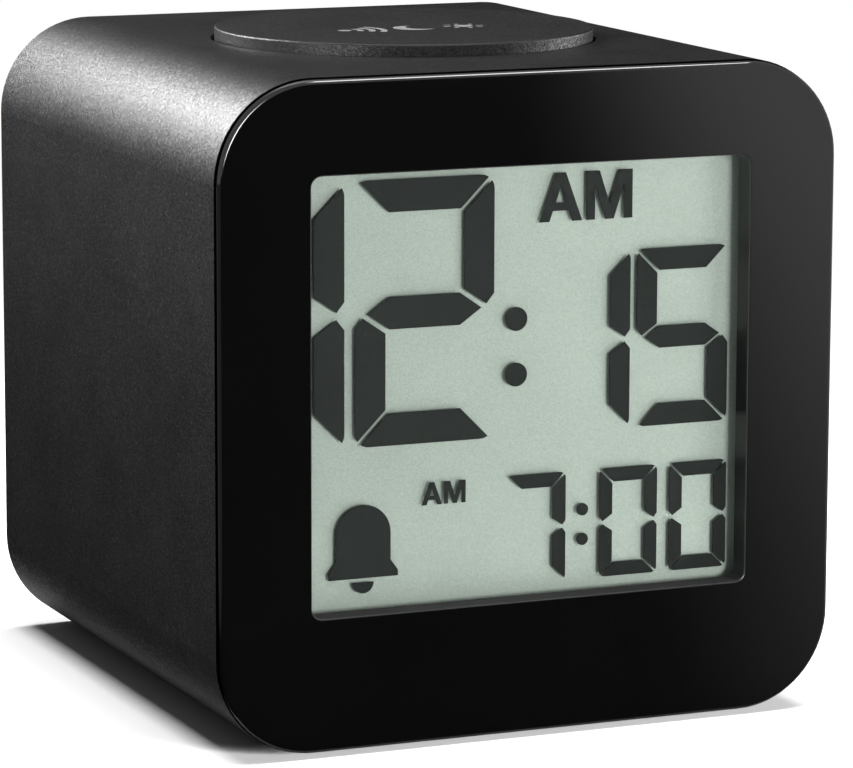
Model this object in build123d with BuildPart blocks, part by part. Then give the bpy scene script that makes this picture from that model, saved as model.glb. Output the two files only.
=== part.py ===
from build123d import *
from math import cos, pi, radians, sin, sqrt
import os

# A cube-shaped talking alarm clock. The origin is the middle of the footprint on the table,
# +Z is up, +X is to the right of someone reading the display, and the display faces -Y.
# All sizes are in millimetres.

# Case
CASE_WIDTH = 60.0
CASE_HEIGHT = 60.0
CASE_DEPTH = 60.0
CORNER_RADIUS = 9.0
WALL = 2.0
EDGE_ROUND = 0.3

# Clearances that the fits share
FIT = 0.15
SEAT_PLAY = 0.05
FUSE = 0.4

# Feet
FOOT_DIAMETER = 8.0
FOOT_STAND = 0.4
FOOT_SINK = 0.6
FOOT_INSET = 13.0

# Front bezel and the parting groove behind its rim
BEZEL_INSET = 0.1
BEZEL_RIM = 0.45
BEZEL_ROUND = 0.4
BEZEL_BACKING = 1.0
GROOVE_WIDTH = 0.25
GROOVE_DEPTH = 0.7
SHELL_ROUND = 0.15
SPIGOT_LENGTH = 5.0
SPIGOT_WALL = 1.6
SNAP_LENGTH = 8.0
SNAP_WIDTH = 1.2
SNAP_PROUD = 0.5
SNAP_LEAD = 0.6
FRAME_SIDE = 8.75
FRAME_TOP = 8.55
FRAME_BOTTOM = 12.2
WINDOW_CORNER = 1.0
WINDOW_ROUND = 0.15
REVEAL = 2.2
FENCE_WALL = 1.6

# Display stack, front to back
PANE_THICK = 0.5
FRONT_GLASS_THICK = 0.5
SEGMENT_THICK = 0.1
REAR_GLASS_THICK = 0.6
REFLECTOR_THICK = 0.2
GUIDE_THICK = 2.0
GLASS_SIDE_LAP = 1.0
GLASS_END_LAP = 0.6
CONTACT_LEDGE = 2.2
ZEBRA_THICK = 1.6
LED_LENGTH = 3.0
LED_WIDTH = 1.4
LED_HEIGHT = 0.9

# Segments: digit cells and marks are placed from the edges of the layout, which is then scaled to the window
LAYOUT_WIDTH = 42.5
LAYOUT_HEIGHT = 39.4
HOUR_WIDTH = 13.44
HOUR_HEIGHT = 23.9
HOUR_STROKE = 2.92
HOUR_SPACE = 1.02
HOUR_FROM_LEFT = 5.3
TIME_FROM_BOTTOM = 14.49
TIME_COLON_FROM_HOUR = 2.2
TIME_COLON_HEIGHTS = (5.61, 10.67)
TIME_COLON_RADIUS = 1.08
MINUTE_WIDTH = 9.23
MINUTE_HEIGHT = 16.35
MINUTE_STROKE = 2.03
MINUTE_SPACE = 0.66
MINUTE_FROM_RIGHT = 0.36
ALARM_WIDTH = 5.8
ALARM_HEIGHT = 10.05
ALARM_STROKE = 1.28
ALARM_SPACE = 1.25
ALARM_COLON_SPACE = 3.4
ALARM_FROM_RIGHT = 0.3
ALARM_FROM_BOTTOM = 0.8
ALARM_COLON_HEIGHTS = (3.68, 6.43)
ALARM_COLON_RADIUS = 0.57
TIME_MARK_HEIGHT = 4.43
TIME_MARK_FROM_LEFT = 23.14
TIME_MARK_FROM_TOP = 1.2
ALARM_MARK_HEIGHT = 2.05
ALARM_MARK_FROM_LEFT = 11.78
ALARM_MARK_FROM_BOTTOM = 8.8
BELL_FROM_LEFT = 6.1
BELL_FROM_BOTTOM = 2.63
BELL_RADIUS = 2.64
BELL_HEIGHT = 6.65
BELL_BRIM_REACH = 0.71
BELL_BRIM_THICK = 0.55
BELL_FLARE = 0.95
CLAPPER_RADIUS = 1.0
CLAPPER_GAP = 0.38

# Main board and what is on it
BOARD_THICK = 1.6
BOARD_SIDE_GAP = 3.0
BOARD_END_GAP = 0.3
BOARD_LAP = 0.5
BOARD_CORNER = 2.5
BOARD_SCREW_SPREAD = 36.0
BOARD_BOSS_DIAMETER = 4.2
HOOK_SPREAD = 24.0
HOOK_WIDTH = 5.0
HOOK_THICK = 1.0
HOOK_LAP = 0.8
BLOB_DIAMETER = 11.0
BLOB_HEIGHT = 1.8
CHIP_LENGTH = 10.0
CHIP_WIDTH = 5.4
CHIP_HEIGHT = 1.8
CHIP_LEG_REACH = 1.2
CHIP_LEG_WIDTH = 0.5
CHIP_LEG_THICK = 0.25
CHIP_LEG_PITCH = 1.27
CHIP_LEGS_A_SIDE = 7
CRYSTAL_DIAMETER = 3.0
CRYSTAL_LENGTH = 8.0
CAPACITOR_DIAMETER = 5.0
CAPACITOR_LENGTH = 7.0
CAPACITOR_SPACE = 7.0
SOCKET_WIDTH = 8.0
SOCKET_HEIGHT = 4.0
SOCKET_DEPTH = 5.0

# Top button and what is under it
BUTTON_MARGIN = 12.25
BUTTON_GAP = 0.25
BUTTON_PROUD = 1.1
BUTTON_TRAVEL = 0.5
BUTTON_CAP = 2.0
BUTTON_SKIRT = 1.8
BUTTON_EDGE = 0.2
FLANGE_REACH = 1.45
FLANGE_THICK = 1.2
FLANGE_GAP = 0.2
PLUNGER_DIAMETER = 5.0
PIN_DIAMETER = 2.4
PIN_SHARE = 0.56
PIN_GAP = 0.3
PIN_TAIL = 1.5
SPRING_LENGTH = 8.0
SPRING_DIAMETER = 10.6
SPRING_WIRE = 0.6
SPRING_TURNS = 5
BRIDGE_THICK = 2.0
BRIDGE_MARGIN = 3.0
POST_DIAMETER = 5.0
POST_CLEAR = 0.6
SNOOZE_BOARD_WIDTH = 20.0
SNOOZE_BOARD_DEPTH = 14.0
SNOOZE_BOARD_THICK = 1.2
STAKE_DIAMETER = 1.6
STAKE_HEAD = 2.6
STAKE_PROUD = 0.8
STAKE_SPREAD = 16.0

# Push switches, one under each button
SWITCH_SIDE = 6.0
SWITCH_HEIGHT = 3.5
SWITCH_STEM_DIAMETER = 3.4
SWITCH_STEM_PROUD = 0.8
SWITCH_STEM_SINK = 1.5
SWITCH_STEM_PLAY = 0.06
SWITCH_BORE_SPARE = 0.4

# Rear cover
COVER_THICK = 2.0
COVER_RECESS = 1.2
COVER_BOSS_DIAMETER = 7.0
COVER_BOSS_LENGTH = 10.0
COVER_BOSS_SINK = 0.5
TONGUE_SPREAD = 28.0
TONGUE_WIDTH = 6.0
TONGUE_THICK = 1.2
TONGUE_REACH = 0.9

# Batteries, their bay and its door. A cell is its diameter and its length
AAA_CELL = (10.5, 44.5)
N_CELL = (12.0, 30.2)
NUB_DIAMETER = 3.8
NUB_LENGTH = 0.8
BATTERY_EDGE = 0.5
BATTERY_CLEAR = 0.3
BAY_WALL = 1.2
BAY_LIFT = 4.0
BAY_SIDE_GAP = 1.0
CONTACT_THICK = 0.4
CONTACT_WIDTH = 8.0
CONTACT_TAIL_WIDTH = 3.0
CONTACT_TAIL_REACH = 3.0
CONTACT_SPRING_LENGTH = 3.6
CONTACT_SPRING_DIAMETER = 5.6
CONTACT_SPRING_WIRE = 0.5
CONTACT_SPRING_TURNS = 3
DOOR_THICK = 1.6
DOOR_LAP = 0.8
TAB_SPREAD = 24.0
TAB_WIDTH = 6.0
TAB_THICK = 1.0
TAB_GAP = 0.2
TAB_REACH = 1.5
TAB_ARM = 1.0
TAB_SWING = 0.8
THUMB_RADIUS = 4.0
THUMB_DEPTH = 0.7

# Loudspeaker
SPEAKER_TOP_GAP = 2.5
SPEAKER_SIDE_GAP = 3.5
SPEAKER_RING_WALL = 1.2
SPEAKER_RING_LENGTH = 3.0
SPEAKER_GAP = 0.3
GASKET_THICK = 0.5
GASKET_SHARE = 0.148
MESH_THICK = 0.2
BASKET_FLANGE_THICK = 0.8
BASKET_WALL = 0.6
BASKET_DEPTH = 3.2
MAGNET_SHARE = 0.52
MAGNET_THICK = 2.5
CONE_THICK = 0.25
CONE_DEPTH = 1.6
CONE_DOME_SHARE = 0.157
CONE_DOME_RISE = 1.0
GRILLE_HOLE_SHARE = 0.13
GRILLE_STEP_SHARE = 0.226
GRILLE_RINGS = 3

# Setting keys and alarm switch in the back
KEY_DIAMETER = 6.0
KEY_GAP = 0.2
KEY_PROUD = 0.8
KEY_EDGE = 0.3
KEY_FLANGE_REACH = 0.8
KEY_FLANGE_THICK = 0.8
KEY_FLANGE_GAP = 0.2
KEY_SHANK_LENGTH = 0.6
KEY_PITCH = 9.5
KEYS_SIDE_GAP = 8.0
KEYS_DROP = 2.5
KEY_TRAVEL = 0.4
KEY_BOARD_MARGIN = 4.5
KEY_POST_DIAMETER = 4.0
KEY_POST_SPREAD = 14.0
SLIDER_RISE = 7.1
SLIDER_TRAVEL = 2.5
SLIDER_GRIP_WIDTH = 3.0
SLIDER_GRIP_HEIGHT = 2.4
SLIDER_GAP = 0.25
SLIDER_NECK_WIDTH = 1.8
SLIDER_NECK_HEIGHT = 1.4
SLIDER_HOUSING_WIDTH = 8.5
SLIDER_HOUSING_HEIGHT = 3.8
SLIDER_HOUSING_DEPTH = 3.6
SLIDER_FLOOR = 0.9
SLIDER_SPARE = 0.3

# Screws
SCREW_HEAD = 4.0
SCREW_HEAD_HEIGHT = 1.2
SCREW_SHANK = 2.0
SCREW_PLAY = 0.02
SCREW_BITE = 3.0
SCREW_CROSS_LENGTH = 2.4
SCREW_CROSS_WIDTH = 0.6
SCREW_CROSS_DEPTH = 0.7

# Wiring
LEAD_DIAMETER = 1.2
LEAD_SPACE = 3.8
LEAD_RUN = 9.0
SPEAKER_LEAD_BEND = 6.0
BATTERY_LEAD_RUN = 4.0
BATTERY_LEAD_BEND = 3.5
RIBBON_THICK = 0.5
RIBBON_WIDTH = 6.0
RIBBON_LAP = 1.5
RIBBON_FOLD = 1.5
RIBBON_DIP = 5.0
RIBBON_BOW = 6.0
RIBBON_RUN_SHARE = 0.6

# Planes that the pieces share
FRONT = -CASE_DEPTH / 2
REAR = CASE_DEPTH / 2
BASE = FOOT_STAND
TOP = BASE + CASE_HEIGHT
MID = BASE + CASE_HEIGHT / 2
DECK = TOP - WALL
SHELL_FRONT = FRONT + BEZEL_RIM + GROOVE_WIDTH
INNER_WIDTH = CASE_WIDTH - 2 * WALL
INNER_HEIGHT = CASE_HEIGHT - 2 * WALL
INNER_RADIUS = CORNER_RADIUS - WALL

BEZEL_WIDTH = CASE_WIDTH - 2 * BEZEL_INSET
BEZEL_HEIGHT = CASE_HEIGHT - 2 * BEZEL_INSET
BEZEL_RADIUS = CORNER_RADIUS - BEZEL_INSET
LAND_WIDTH = BEZEL_WIDTH - 2 * GROOVE_DEPTH
LAND_HEIGHT = BEZEL_HEIGHT - 2 * GROOVE_DEPTH
LAND_RADIUS = BEZEL_RADIUS - GROOVE_DEPTH
SPIGOT_WIDTH = INNER_WIDTH - 2 * FIT
SPIGOT_HEIGHT = INNER_HEIGHT - 2 * FIT
SPIGOT_BACK = SHELL_FRONT + SPIGOT_LENGTH
SPIGOT_FLOOR = BASE + WALL + FIT + SPIGOT_WALL

WINDOW_WIDTH = CASE_WIDTH - 2 * FRAME_SIDE
WINDOW_HEIGHT = CASE_HEIGHT - FRAME_TOP - FRAME_BOTTOM
WINDOW_LEFT = -WINDOW_WIDTH / 2
WINDOW_RIGHT = WINDOW_WIDTH / 2
WINDOW_BOTTOM = BASE + FRAME_BOTTOM
WINDOW_TOP = WINDOW_BOTTOM + WINDOW_HEIGHT
WINDOW_MID = (WINDOW_BOTTOM + WINDOW_TOP) / 2

GLASS_WIDTH = WINDOW_WIDTH + 2 * GLASS_SIDE_LAP
REAR_GLASS_HEIGHT = WINDOW_HEIGHT + 2 * GLASS_END_LAP
FRONT_GLASS_HEIGHT = REAR_GLASS_HEIGHT + 2 * CONTACT_LEDGE
POCKET_WIDTH = GLASS_WIDTH + 2 * FIT
POCKET_HEIGHT = FRONT_GLASS_HEIGHT + 2 * FIT
POCKET_TOP = WINDOW_MID + POCKET_HEIGHT / 2
PANE_FRONT = FRONT + REVEAL
FRONT_GLASS_FRONT = PANE_FRONT + PANE_THICK
SEGMENT_FRONT = FRONT_GLASS_FRONT + FRONT_GLASS_THICK
REAR_GLASS_FRONT = SEGMENT_FRONT + SEGMENT_THICK
REFLECTOR_FRONT = REAR_GLASS_FRONT + REAR_GLASS_THICK
GUIDE_FRONT = REFLECTOR_FRONT + REFLECTOR_THICK
BOARD_FRONT = GUIDE_FRONT + GUIDE_THICK
BOARD_BACK = BOARD_FRONT + BOARD_THICK

BOARD_WIDTH = INNER_WIDTH - 2 * BOARD_SIDE_GAP
BOARD_BOTTOM = SPIGOT_FLOOR + BOARD_END_GAP
BOARD_TOP = POCKET_TOP + BOARD_LAP
BOARD_SCREW_Z = BOARD_BOTTOM + BOARD_BOSS_DIAMETER / 2
SOCKET_BACK = BOARD_BACK + SOCKET_DEPTH

BUTTON_DIAMETER = min(CASE_WIDTH, CASE_DEPTH) - 2 * BUTTON_MARGIN
BUTTON_RADIUS = BUTTON_DIAMETER / 2
PIN_SPREAD = PIN_SHARE * BUTTON_DIAMETER
BUTTON_TOP = TOP + BUTTON_PROUD
CAP_UNDERSIDE = BUTTON_TOP - BUTTON_CAP
FLANGE_TOP = DECK - FLANGE_GAP
FLANGE_RADIUS = BUTTON_RADIUS + FLANGE_REACH
SNOOZE_BOARD_TOP = CAP_UNDERSIDE - SPRING_LENGTH
BRIDGE_TOP = SNOOZE_BOARD_TOP - SNOOZE_BOARD_THICK
BRIDGE_BOTTOM = BRIDGE_TOP - BRIDGE_THICK
PLUNGER_BOTTOM = SNOOZE_BOARD_TOP + SWITCH_HEIGHT + SWITCH_STEM_PROUD
POST_X = FLANGE_RADIUS + POST_CLEAR + POST_DIAMETER / 2

COVER_OUT = REAR - COVER_RECESS
COVER_IN = COVER_OUT - COVER_THICK
COVER_WIDTH = INNER_WIDTH - 2 * FIT
COVER_HEIGHT = INNER_HEIGHT - 2 * FIT
COVER_BOTTOM = MID - COVER_HEIGHT / 2
BOSS_SHIFT = (INNER_RADIUS - COVER_BOSS_DIAMETER / 2 + COVER_BOSS_SINK) * cos(radians(45))
COVER_BOSS_X = INNER_WIDTH / 2 - INNER_RADIUS + BOSS_SHIFT
COVER_BOSS_Z = MID + INNER_HEIGHT / 2 - INNER_RADIUS + BOSS_SHIFT

# The longer standard cell is used where it lies across the case
bay_sides = COVER_WIDTH - 2 * (BAY_SIDE_GAP + BAY_WALL)
CELL_ROOM = bay_sides - 2 * CONTACT_THICK - CONTACT_SPRING_LENGTH
BATTERY_DIAMETER, BATTERY_LENGTH = AAA_CELL if AAA_CELL[1] <= CELL_ROOM else N_CELL
DOOR_IN = COVER_OUT - DOOR_THICK
CELL_Y = DOOR_IN - BATTERY_CLEAR - BATTERY_DIAMETER / 2
BAY_BACK = CELL_Y - BATTERY_DIAMETER / 2 - BATTERY_CLEAR
BAY_LOW = BASE + WALL + BAY_LIFT
LOWER_CELL_Z = BAY_LOW + BATTERY_CLEAR + BATTERY_DIAMETER / 2
UPPER_CELL_Z = LOWER_CELL_Z + BATTERY_DIAMETER + BATTERY_CLEAR
BAY_HIGH = UPPER_CELL_Z + BATTERY_DIAMETER / 2 + BATTERY_CLEAR
BAY_HALF = (BATTERY_LENGTH + CONTACT_SPRING_LENGTH) / 2 + CONTACT_THICK
RABBET_HALF = BAY_HALF + DOOR_LAP
RABBET_LOW = BAY_LOW - DOOR_LAP
RABBET_HIGH = BAY_HIGH + DOOR_LAP
DOOR_LOW = RABBET_LOW + FIT
DOOR_HIGH = RABBET_HIGH - FIT
TAB_BACK = COVER_IN - TAB_GAP
TAB_FRONT = TAB_BACK - TAB_THICK
TAB_LOW = DOOR_LOW - TAB_REACH
TAB_HIGH = DOOR_LOW + TAB_ARM
TAIL_FRONT = BAY_BACK - BAY_WALL - CONTACT_TAIL_REACH

# The speaker's ring fills the height over the bay, or the width beside the key board if that is less
KEY_BOARD_WIDTH = KEY_PITCH + 2 * KEY_BOARD_MARGIN
RING_LOW = BAY_HIGH + BAY_WALL + SPEAKER_GAP
ring_tall = DECK - SPEAKER_TOP_GAP - RING_LOW
ring_wide = COVER_WIDTH - SPEAKER_SIDE_GAP - KEY_BOARD_WIDTH - KEYS_SIDE_GAP
SPEAKER_RING_OUTER = min(ring_tall, ring_wide) / 2
SPEAKER_RING_INNER = SPEAKER_RING_OUTER - SPEAKER_RING_WALL
SPEAKER_RADIUS = SPEAKER_RING_INNER - FIT
SPEAKER_X = SPEAKER_SIDE_GAP + SPEAKER_RING_OUTER - COVER_WIDTH / 2
SPEAKER_Z = RING_LOW + SPEAKER_RING_OUTER
BASKET_REAR = COVER_IN - GASKET_THICK
CUP_FLOOR = BASKET_REAR - BASKET_DEPTH
GASKET_WIDTH = GASKET_SHARE * SPEAKER_RADIUS
CUP_RADIUS = SPEAKER_RADIUS - GASKET_WIDTH
MAGNET_RADIUS = MAGNET_SHARE * SPEAKER_RADIUS
CONE_DOME_RADIUS = CONE_DOME_SHARE * 2 * SPEAKER_RADIUS
GRILLE_HOLE = GRILLE_HOLE_SHARE * SPEAKER_RADIUS
GRILLE_STEP = GRILLE_STEP_SHARE * SPEAKER_RADIUS

KEYS_X = COVER_WIDTH / 2 - KEYS_SIDE_GAP - KEY_BOARD_WIDTH / 2
KEYS_Z = SPEAKER_Z - KEYS_DROP
KEY_RADIUS = KEY_DIAMETER / 2
KEY_FLANGE_REAR = COVER_IN - KEY_FLANGE_GAP
KEY_TIP = KEY_FLANGE_REAR - KEY_FLANGE_THICK - KEY_SHANK_LENGTH
KEY_BOARD_REAR = KEY_TIP - SWITCH_STEM_PROUD - SWITCH_HEIGHT
KEY_BOARD_FRONT = KEY_BOARD_REAR - BOARD_THICK
SLIDER_Z = KEYS_Z + KEY_PITCH / 2 + SLIDER_RISE
SLIDER_HOUSING_TOP = KEY_BOARD_REAR + SLIDER_HOUSING_DEPTH
KEY_BOARD_LOW = KEYS_Z - KEY_PITCH / 2 - KEY_BOARD_MARGIN
KEY_BOARD_HIGH = SLIDER_Z + KEY_POST_DIAMETER / 2 + SLIDER_SPARE

ON_SEAT = (Align.CENTER, Align.CENTER, Align.MIN)
UNDER_SEAT = (Align.CENTER, Align.CENTER, Align.MAX)
BACKWARD = Vector(0, 1, 0)
FORWARD = Vector(0, -1, 0)
DOWNWARD = Vector(0, 0, -1)


def across(y):
    """The upright plane at depth y, read from the front: local x is X and local y is Z."""
    return Plane.XZ.offset(-y)


def both_sides(distance):
    """The same distance to the left and to the right of the middle."""
    return (-distance, distance)


def box_between(low, high, mode=Mode.ADD):
    """A box from its low corner to its high corner."""
    middle = (Vector(low) + Vector(high)) / 2
    span = Vector(high) - Vector(low)
    with Locations(middle):
        Box(span.X, span.Y, span.Z, mode=mode)


def rod(start, end, radius, mode=Mode.ADD):
    """A round rod from its start to its end."""
    run = Vector(end) - Vector(start)
    with Locations(Plane(origin=start, z_dir=run)):
        Cylinder(radius, run.length, align=ON_SEAT, mode=mode)


def screw(seat, out, reach):
    """A cross-head screw: the head stands on the seat and the shank reaches the other way."""
    with Locations(Plane(origin=seat, z_dir=out)):
        Cylinder(SCREW_HEAD / 2, SCREW_HEAD_HEIGHT, align=ON_SEAT)
        Cylinder(SCREW_SHANK / 2, reach, align=UNDER_SEAT)
    crown = Vector(seat) + out * (SCREW_HEAD_HEIGHT - SCREW_CROSS_DEPTH)
    with Locations(Plane(origin=crown, z_dir=out)):
        Box(SCREW_CROSS_LENGTH, SCREW_CROSS_WIDTH, SCREW_HEAD_HEIGHT, align=ON_SEAT, mode=Mode.SUBTRACT)
        Box(SCREW_CROSS_WIDTH, SCREW_CROSS_LENGTH, SCREW_HEAD_HEIGHT, align=ON_SEAT, mode=Mode.SUBTRACT)


def pilot(seat, out):
    """The blind hole that a screw's shank bites into, sunk from the seat."""
    tip = Vector(seat) - out * (SCREW_BITE + FUSE)
    rod(tip, seat, SCREW_SHANK / 2 + SCREW_PLAY, Mode.SUBTRACT)


def push_switch(seat, out):
    """A square push switch standing on the seat, bored for its stem."""
    bore = SWITCH_STEM_SINK + max(BUTTON_TRAVEL, KEY_TRAVEL) + SWITCH_BORE_SPARE
    with Locations(Plane(origin=seat, z_dir=out, x_dir=(1, 0, 0))):
        Box(SWITCH_SIDE, SWITCH_SIDE, SWITCH_HEIGHT, align=ON_SEAT)
    top = Vector(seat) + out * SWITCH_HEIGHT
    rod(top - out * bore, top, SWITCH_STEM_DIAMETER / 2 + SWITCH_STEM_PLAY, Mode.SUBTRACT)


def switch_stem(seat, out):
    """The round stem of a push switch, sunk in its bore and standing proud of the switch."""
    top = Vector(seat) + out * SWITCH_HEIGHT
    rod(top - out * SWITCH_STEM_SINK, top + out * SWITCH_STEM_PROUD, SWITCH_STEM_DIAMETER / 2)


def snap_ridges(play):
    """Low and high corners of the four snap ridges round the spigot, grown by the play."""
    near = SPIGOT_BACK - SNAP_LEAD - SNAP_WIDTH - play
    far = SPIGOT_BACK - SNAP_LEAD + play
    half = SNAP_LENGTH / 2 + play
    reach_x = sorted((SPIGOT_WIDTH / 2 - FUSE, SPIGOT_WIDTH / 2 + SNAP_PROUD + play))
    reach_z = sorted((SPIGOT_HEIGHT / 2 - FUSE, SPIGOT_HEIGHT / 2 + SNAP_PROUD + play))
    left = ((-reach_x[1], near, MID - half), (-reach_x[0], far, MID + half))
    right = ((reach_x[0], near, MID - half), (reach_x[1], far, MID + half))
    under = ((-half, near, MID - reach_z[1]), (half, far, MID - reach_z[0]))
    over = ((-half, near, MID + reach_z[0]), (half, far, MID + reach_z[1]))
    return (left, right, under, over)


def tongue_corners(x, play):
    """Low and high corners of one locating tongue under the rear cover, grown by the play."""
    half = TONGUE_WIDTH / 2 + play
    low = (x - half, COVER_IN - play, COVER_BOTTOM - TONGUE_REACH - play)
    high = (x + half, COVER_IN + TONGUE_THICK + play, COVER_BOTTOM + FUSE)
    return low, high


def coil_arcs(axis_plane, radius, length, turns):
    """Arcs along a coil standing on a plane, two to each quarter turn: start, end and first tangent."""
    quarters = 4 * turns
    climb = length / (2 * pi * radius * turns)
    points = []
    tangents = []
    for step in range(quarters + 1):
        turn = pi / 2 * step
        local = Vector(radius * cos(turn), radius * sin(turn), length * step / quarters)
        ahead = Vector(-sin(turn), cos(turn), climb).normalized()
        points.append(axis_plane.from_local_coords(local))
        tangents.append(axis_plane.from_local_coords(ahead) - axis_plane.origin)
    arcs = []
    for start, end, first, last in zip(points, points[1:], tangents, tangents[1:]):
        span = end - start
        along = span.dot(first + last)
        bend = 1 - first.dot(last)
        handle = (sqrt(along**2 + 2 * bend * span.dot(span)) - along) / (2 * bend)
        near = start + first * handle
        far = end - last * handle
        join = (near + far) / 2
        arcs.append((start, join, first))
        arcs.append((join, end, (far - near).normalized()))
    return arcs


def segment_outlines(left, bottom, width, height, stroke):
    """Corner points of the seven segments a to g of one digit cell, mitred where they meet."""
    right = left + width
    top = bottom + height
    middle = bottom + height / 2
    slit = SLIT_SHARE * stroke
    end = END_SHARE * stroke
    tip_in = TIP_IN_SHARE * stroke
    tip_gap = TIP_GAP_SHARE * stroke
    inner_end = INNER_END_SHARE * stroke
    bar_tip = BAR_TIP_SHARE * stroke
    bar_shoulder = BAR_SHOULDER_SHARE * stroke

    def side(outer, inward, far, upright):
        """One upright segment: its outer edge, the way inwards, its far end and its direction."""
        inner = outer + inward * stroke
        return [
            (outer, far - upright * slit),
            (outer, middle + upright * end),
            (outer + inward * tip_in, middle + upright * tip_gap),
            (inner, middle + upright * inner_end),
            (inner, far - upright * (stroke + slit)),
        ]

    def level(outer, inward):
        """The top or bottom segment: its outer edge and the way inwards."""
        return [
            (left + slit, outer),
            (right - slit, outer),
            (right - stroke - slit, outer + inward * stroke),
            (left + stroke + slit, outer + inward * stroke),
        ]

    bar = [
        (left + bar_tip, middle),
        (left + bar_shoulder, middle + stroke / 2),
        (right - bar_shoulder, middle + stroke / 2),
        (right - bar_tip, middle),
        (right - bar_shoulder, middle - stroke / 2),
        (left + bar_shoulder, middle - stroke / 2),
    ]
    return {
        "a": level(top, -1),
        "b": side(right, -1, top, 1),
        "c": side(right, -1, bottom, -1),
        "d": level(bottom, 1),
        "e": side(left, 1, bottom, -1),
        "f": side(left, 1, top, 1),
        "g": bar,
    }


def dome_height(away, radius, rise):
    """Height of a spherical dome at a distance away from its middle."""
    ball = (radius**2 + rise**2) / (2 * rise)
    return sqrt(ball**2 - away**2) - (ball - rise)


def save(built, name):
    """Label a finished piece and write it."""
    built.part.label = name
    export_step(built.part, f"parts/{name}.step")


os.makedirs("parts", exist_ok=True)

# Case shell: a rounded sleeve with the button hole, two posts for the bridge under the button, two bosses
# for the cover screws, and blind pockets for the feet, the snaps and the cover's tongues
with BuildPart() as case_shell:
    with BuildSketch(across(SHELL_FRONT)):
        with Locations((0, MID)):
            RectangleRounded(CASE_WIDTH, CASE_HEIGHT, CORNER_RADIUS)
    extrude(amount=-(REAR - SHELL_FRONT))
    fillet(case_shell.edges().group_by(Axis.Y)[0], SHELL_ROUND)
    fillet(case_shell.edges().group_by(Axis.Y)[-1], EDGE_ROUND)
    with BuildSketch(across(SHELL_FRONT)):
        with Locations((0, MID)):
            RectangleRounded(INNER_WIDTH, INNER_HEIGHT, INNER_RADIUS)
    extrude(amount=-(REAR - SHELL_FRONT), mode=Mode.SUBTRACT)
    for x in both_sides(POST_X):
        rod((x, 0, BRIDGE_TOP), (x, 0, DECK + FUSE), POST_DIAMETER / 2)
        pilot((x, 0, BRIDGE_TOP), DOWNWARD)
    for x in both_sides(COVER_BOSS_X):
        boss_seat = (x, COVER_IN, COVER_BOSS_Z)
        rod((x, COVER_IN - COVER_BOSS_LENGTH, COVER_BOSS_Z), boss_seat, COVER_BOSS_DIAMETER / 2)
        pilot(boss_seat, BACKWARD)
    hole_radius = BUTTON_RADIUS + BUTTON_GAP
    rod((0, 0, DECK - WALL), (0, 0, TOP + WALL), hole_radius, Mode.SUBTRACT)
    hole_edges = case_shell.edges().filter_by(GeomType.CIRCLE)
    hole_rim = hole_edges.filter_by(lambda edge: abs(edge.radius - hole_radius) < FIT).sort_by(Axis.Z)[-1]
    fillet(hole_rim, EDGE_ROUND / 2)
    for x in both_sides(CASE_WIDTH / 2 - FOOT_INSET):
        for y in both_sides(CASE_DEPTH / 2 - FOOT_INSET):
            rod((x, y, BASE - WALL), (x, y, BASE + FOOT_SINK), FOOT_DIAMETER / 2 + FIT, Mode.SUBTRACT)
    for low, high in snap_ridges(FIT):
        box_between(low, high, Mode.SUBTRACT)
    for x in both_sides(TONGUE_SPREAD / 2):
        low, high = tongue_corners(x, FIT)
        box_between(low, high, Mode.SUBTRACT)
save(case_shell, "case_shell")

# Feet: four round rubber pads stuck in their pockets
with BuildPart() as rubber_feet:
    for x in both_sides(CASE_WIDTH / 2 - FOOT_INSET):
        for y in both_sides(CASE_DEPTH / 2 - FOOT_INSET):
            rod((x, y, BASE - FOOT_STAND), (x, y, BASE + FOOT_SINK), FOOT_DIAMETER / 2)
save(rubber_feet, "rubber_feet")

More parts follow.
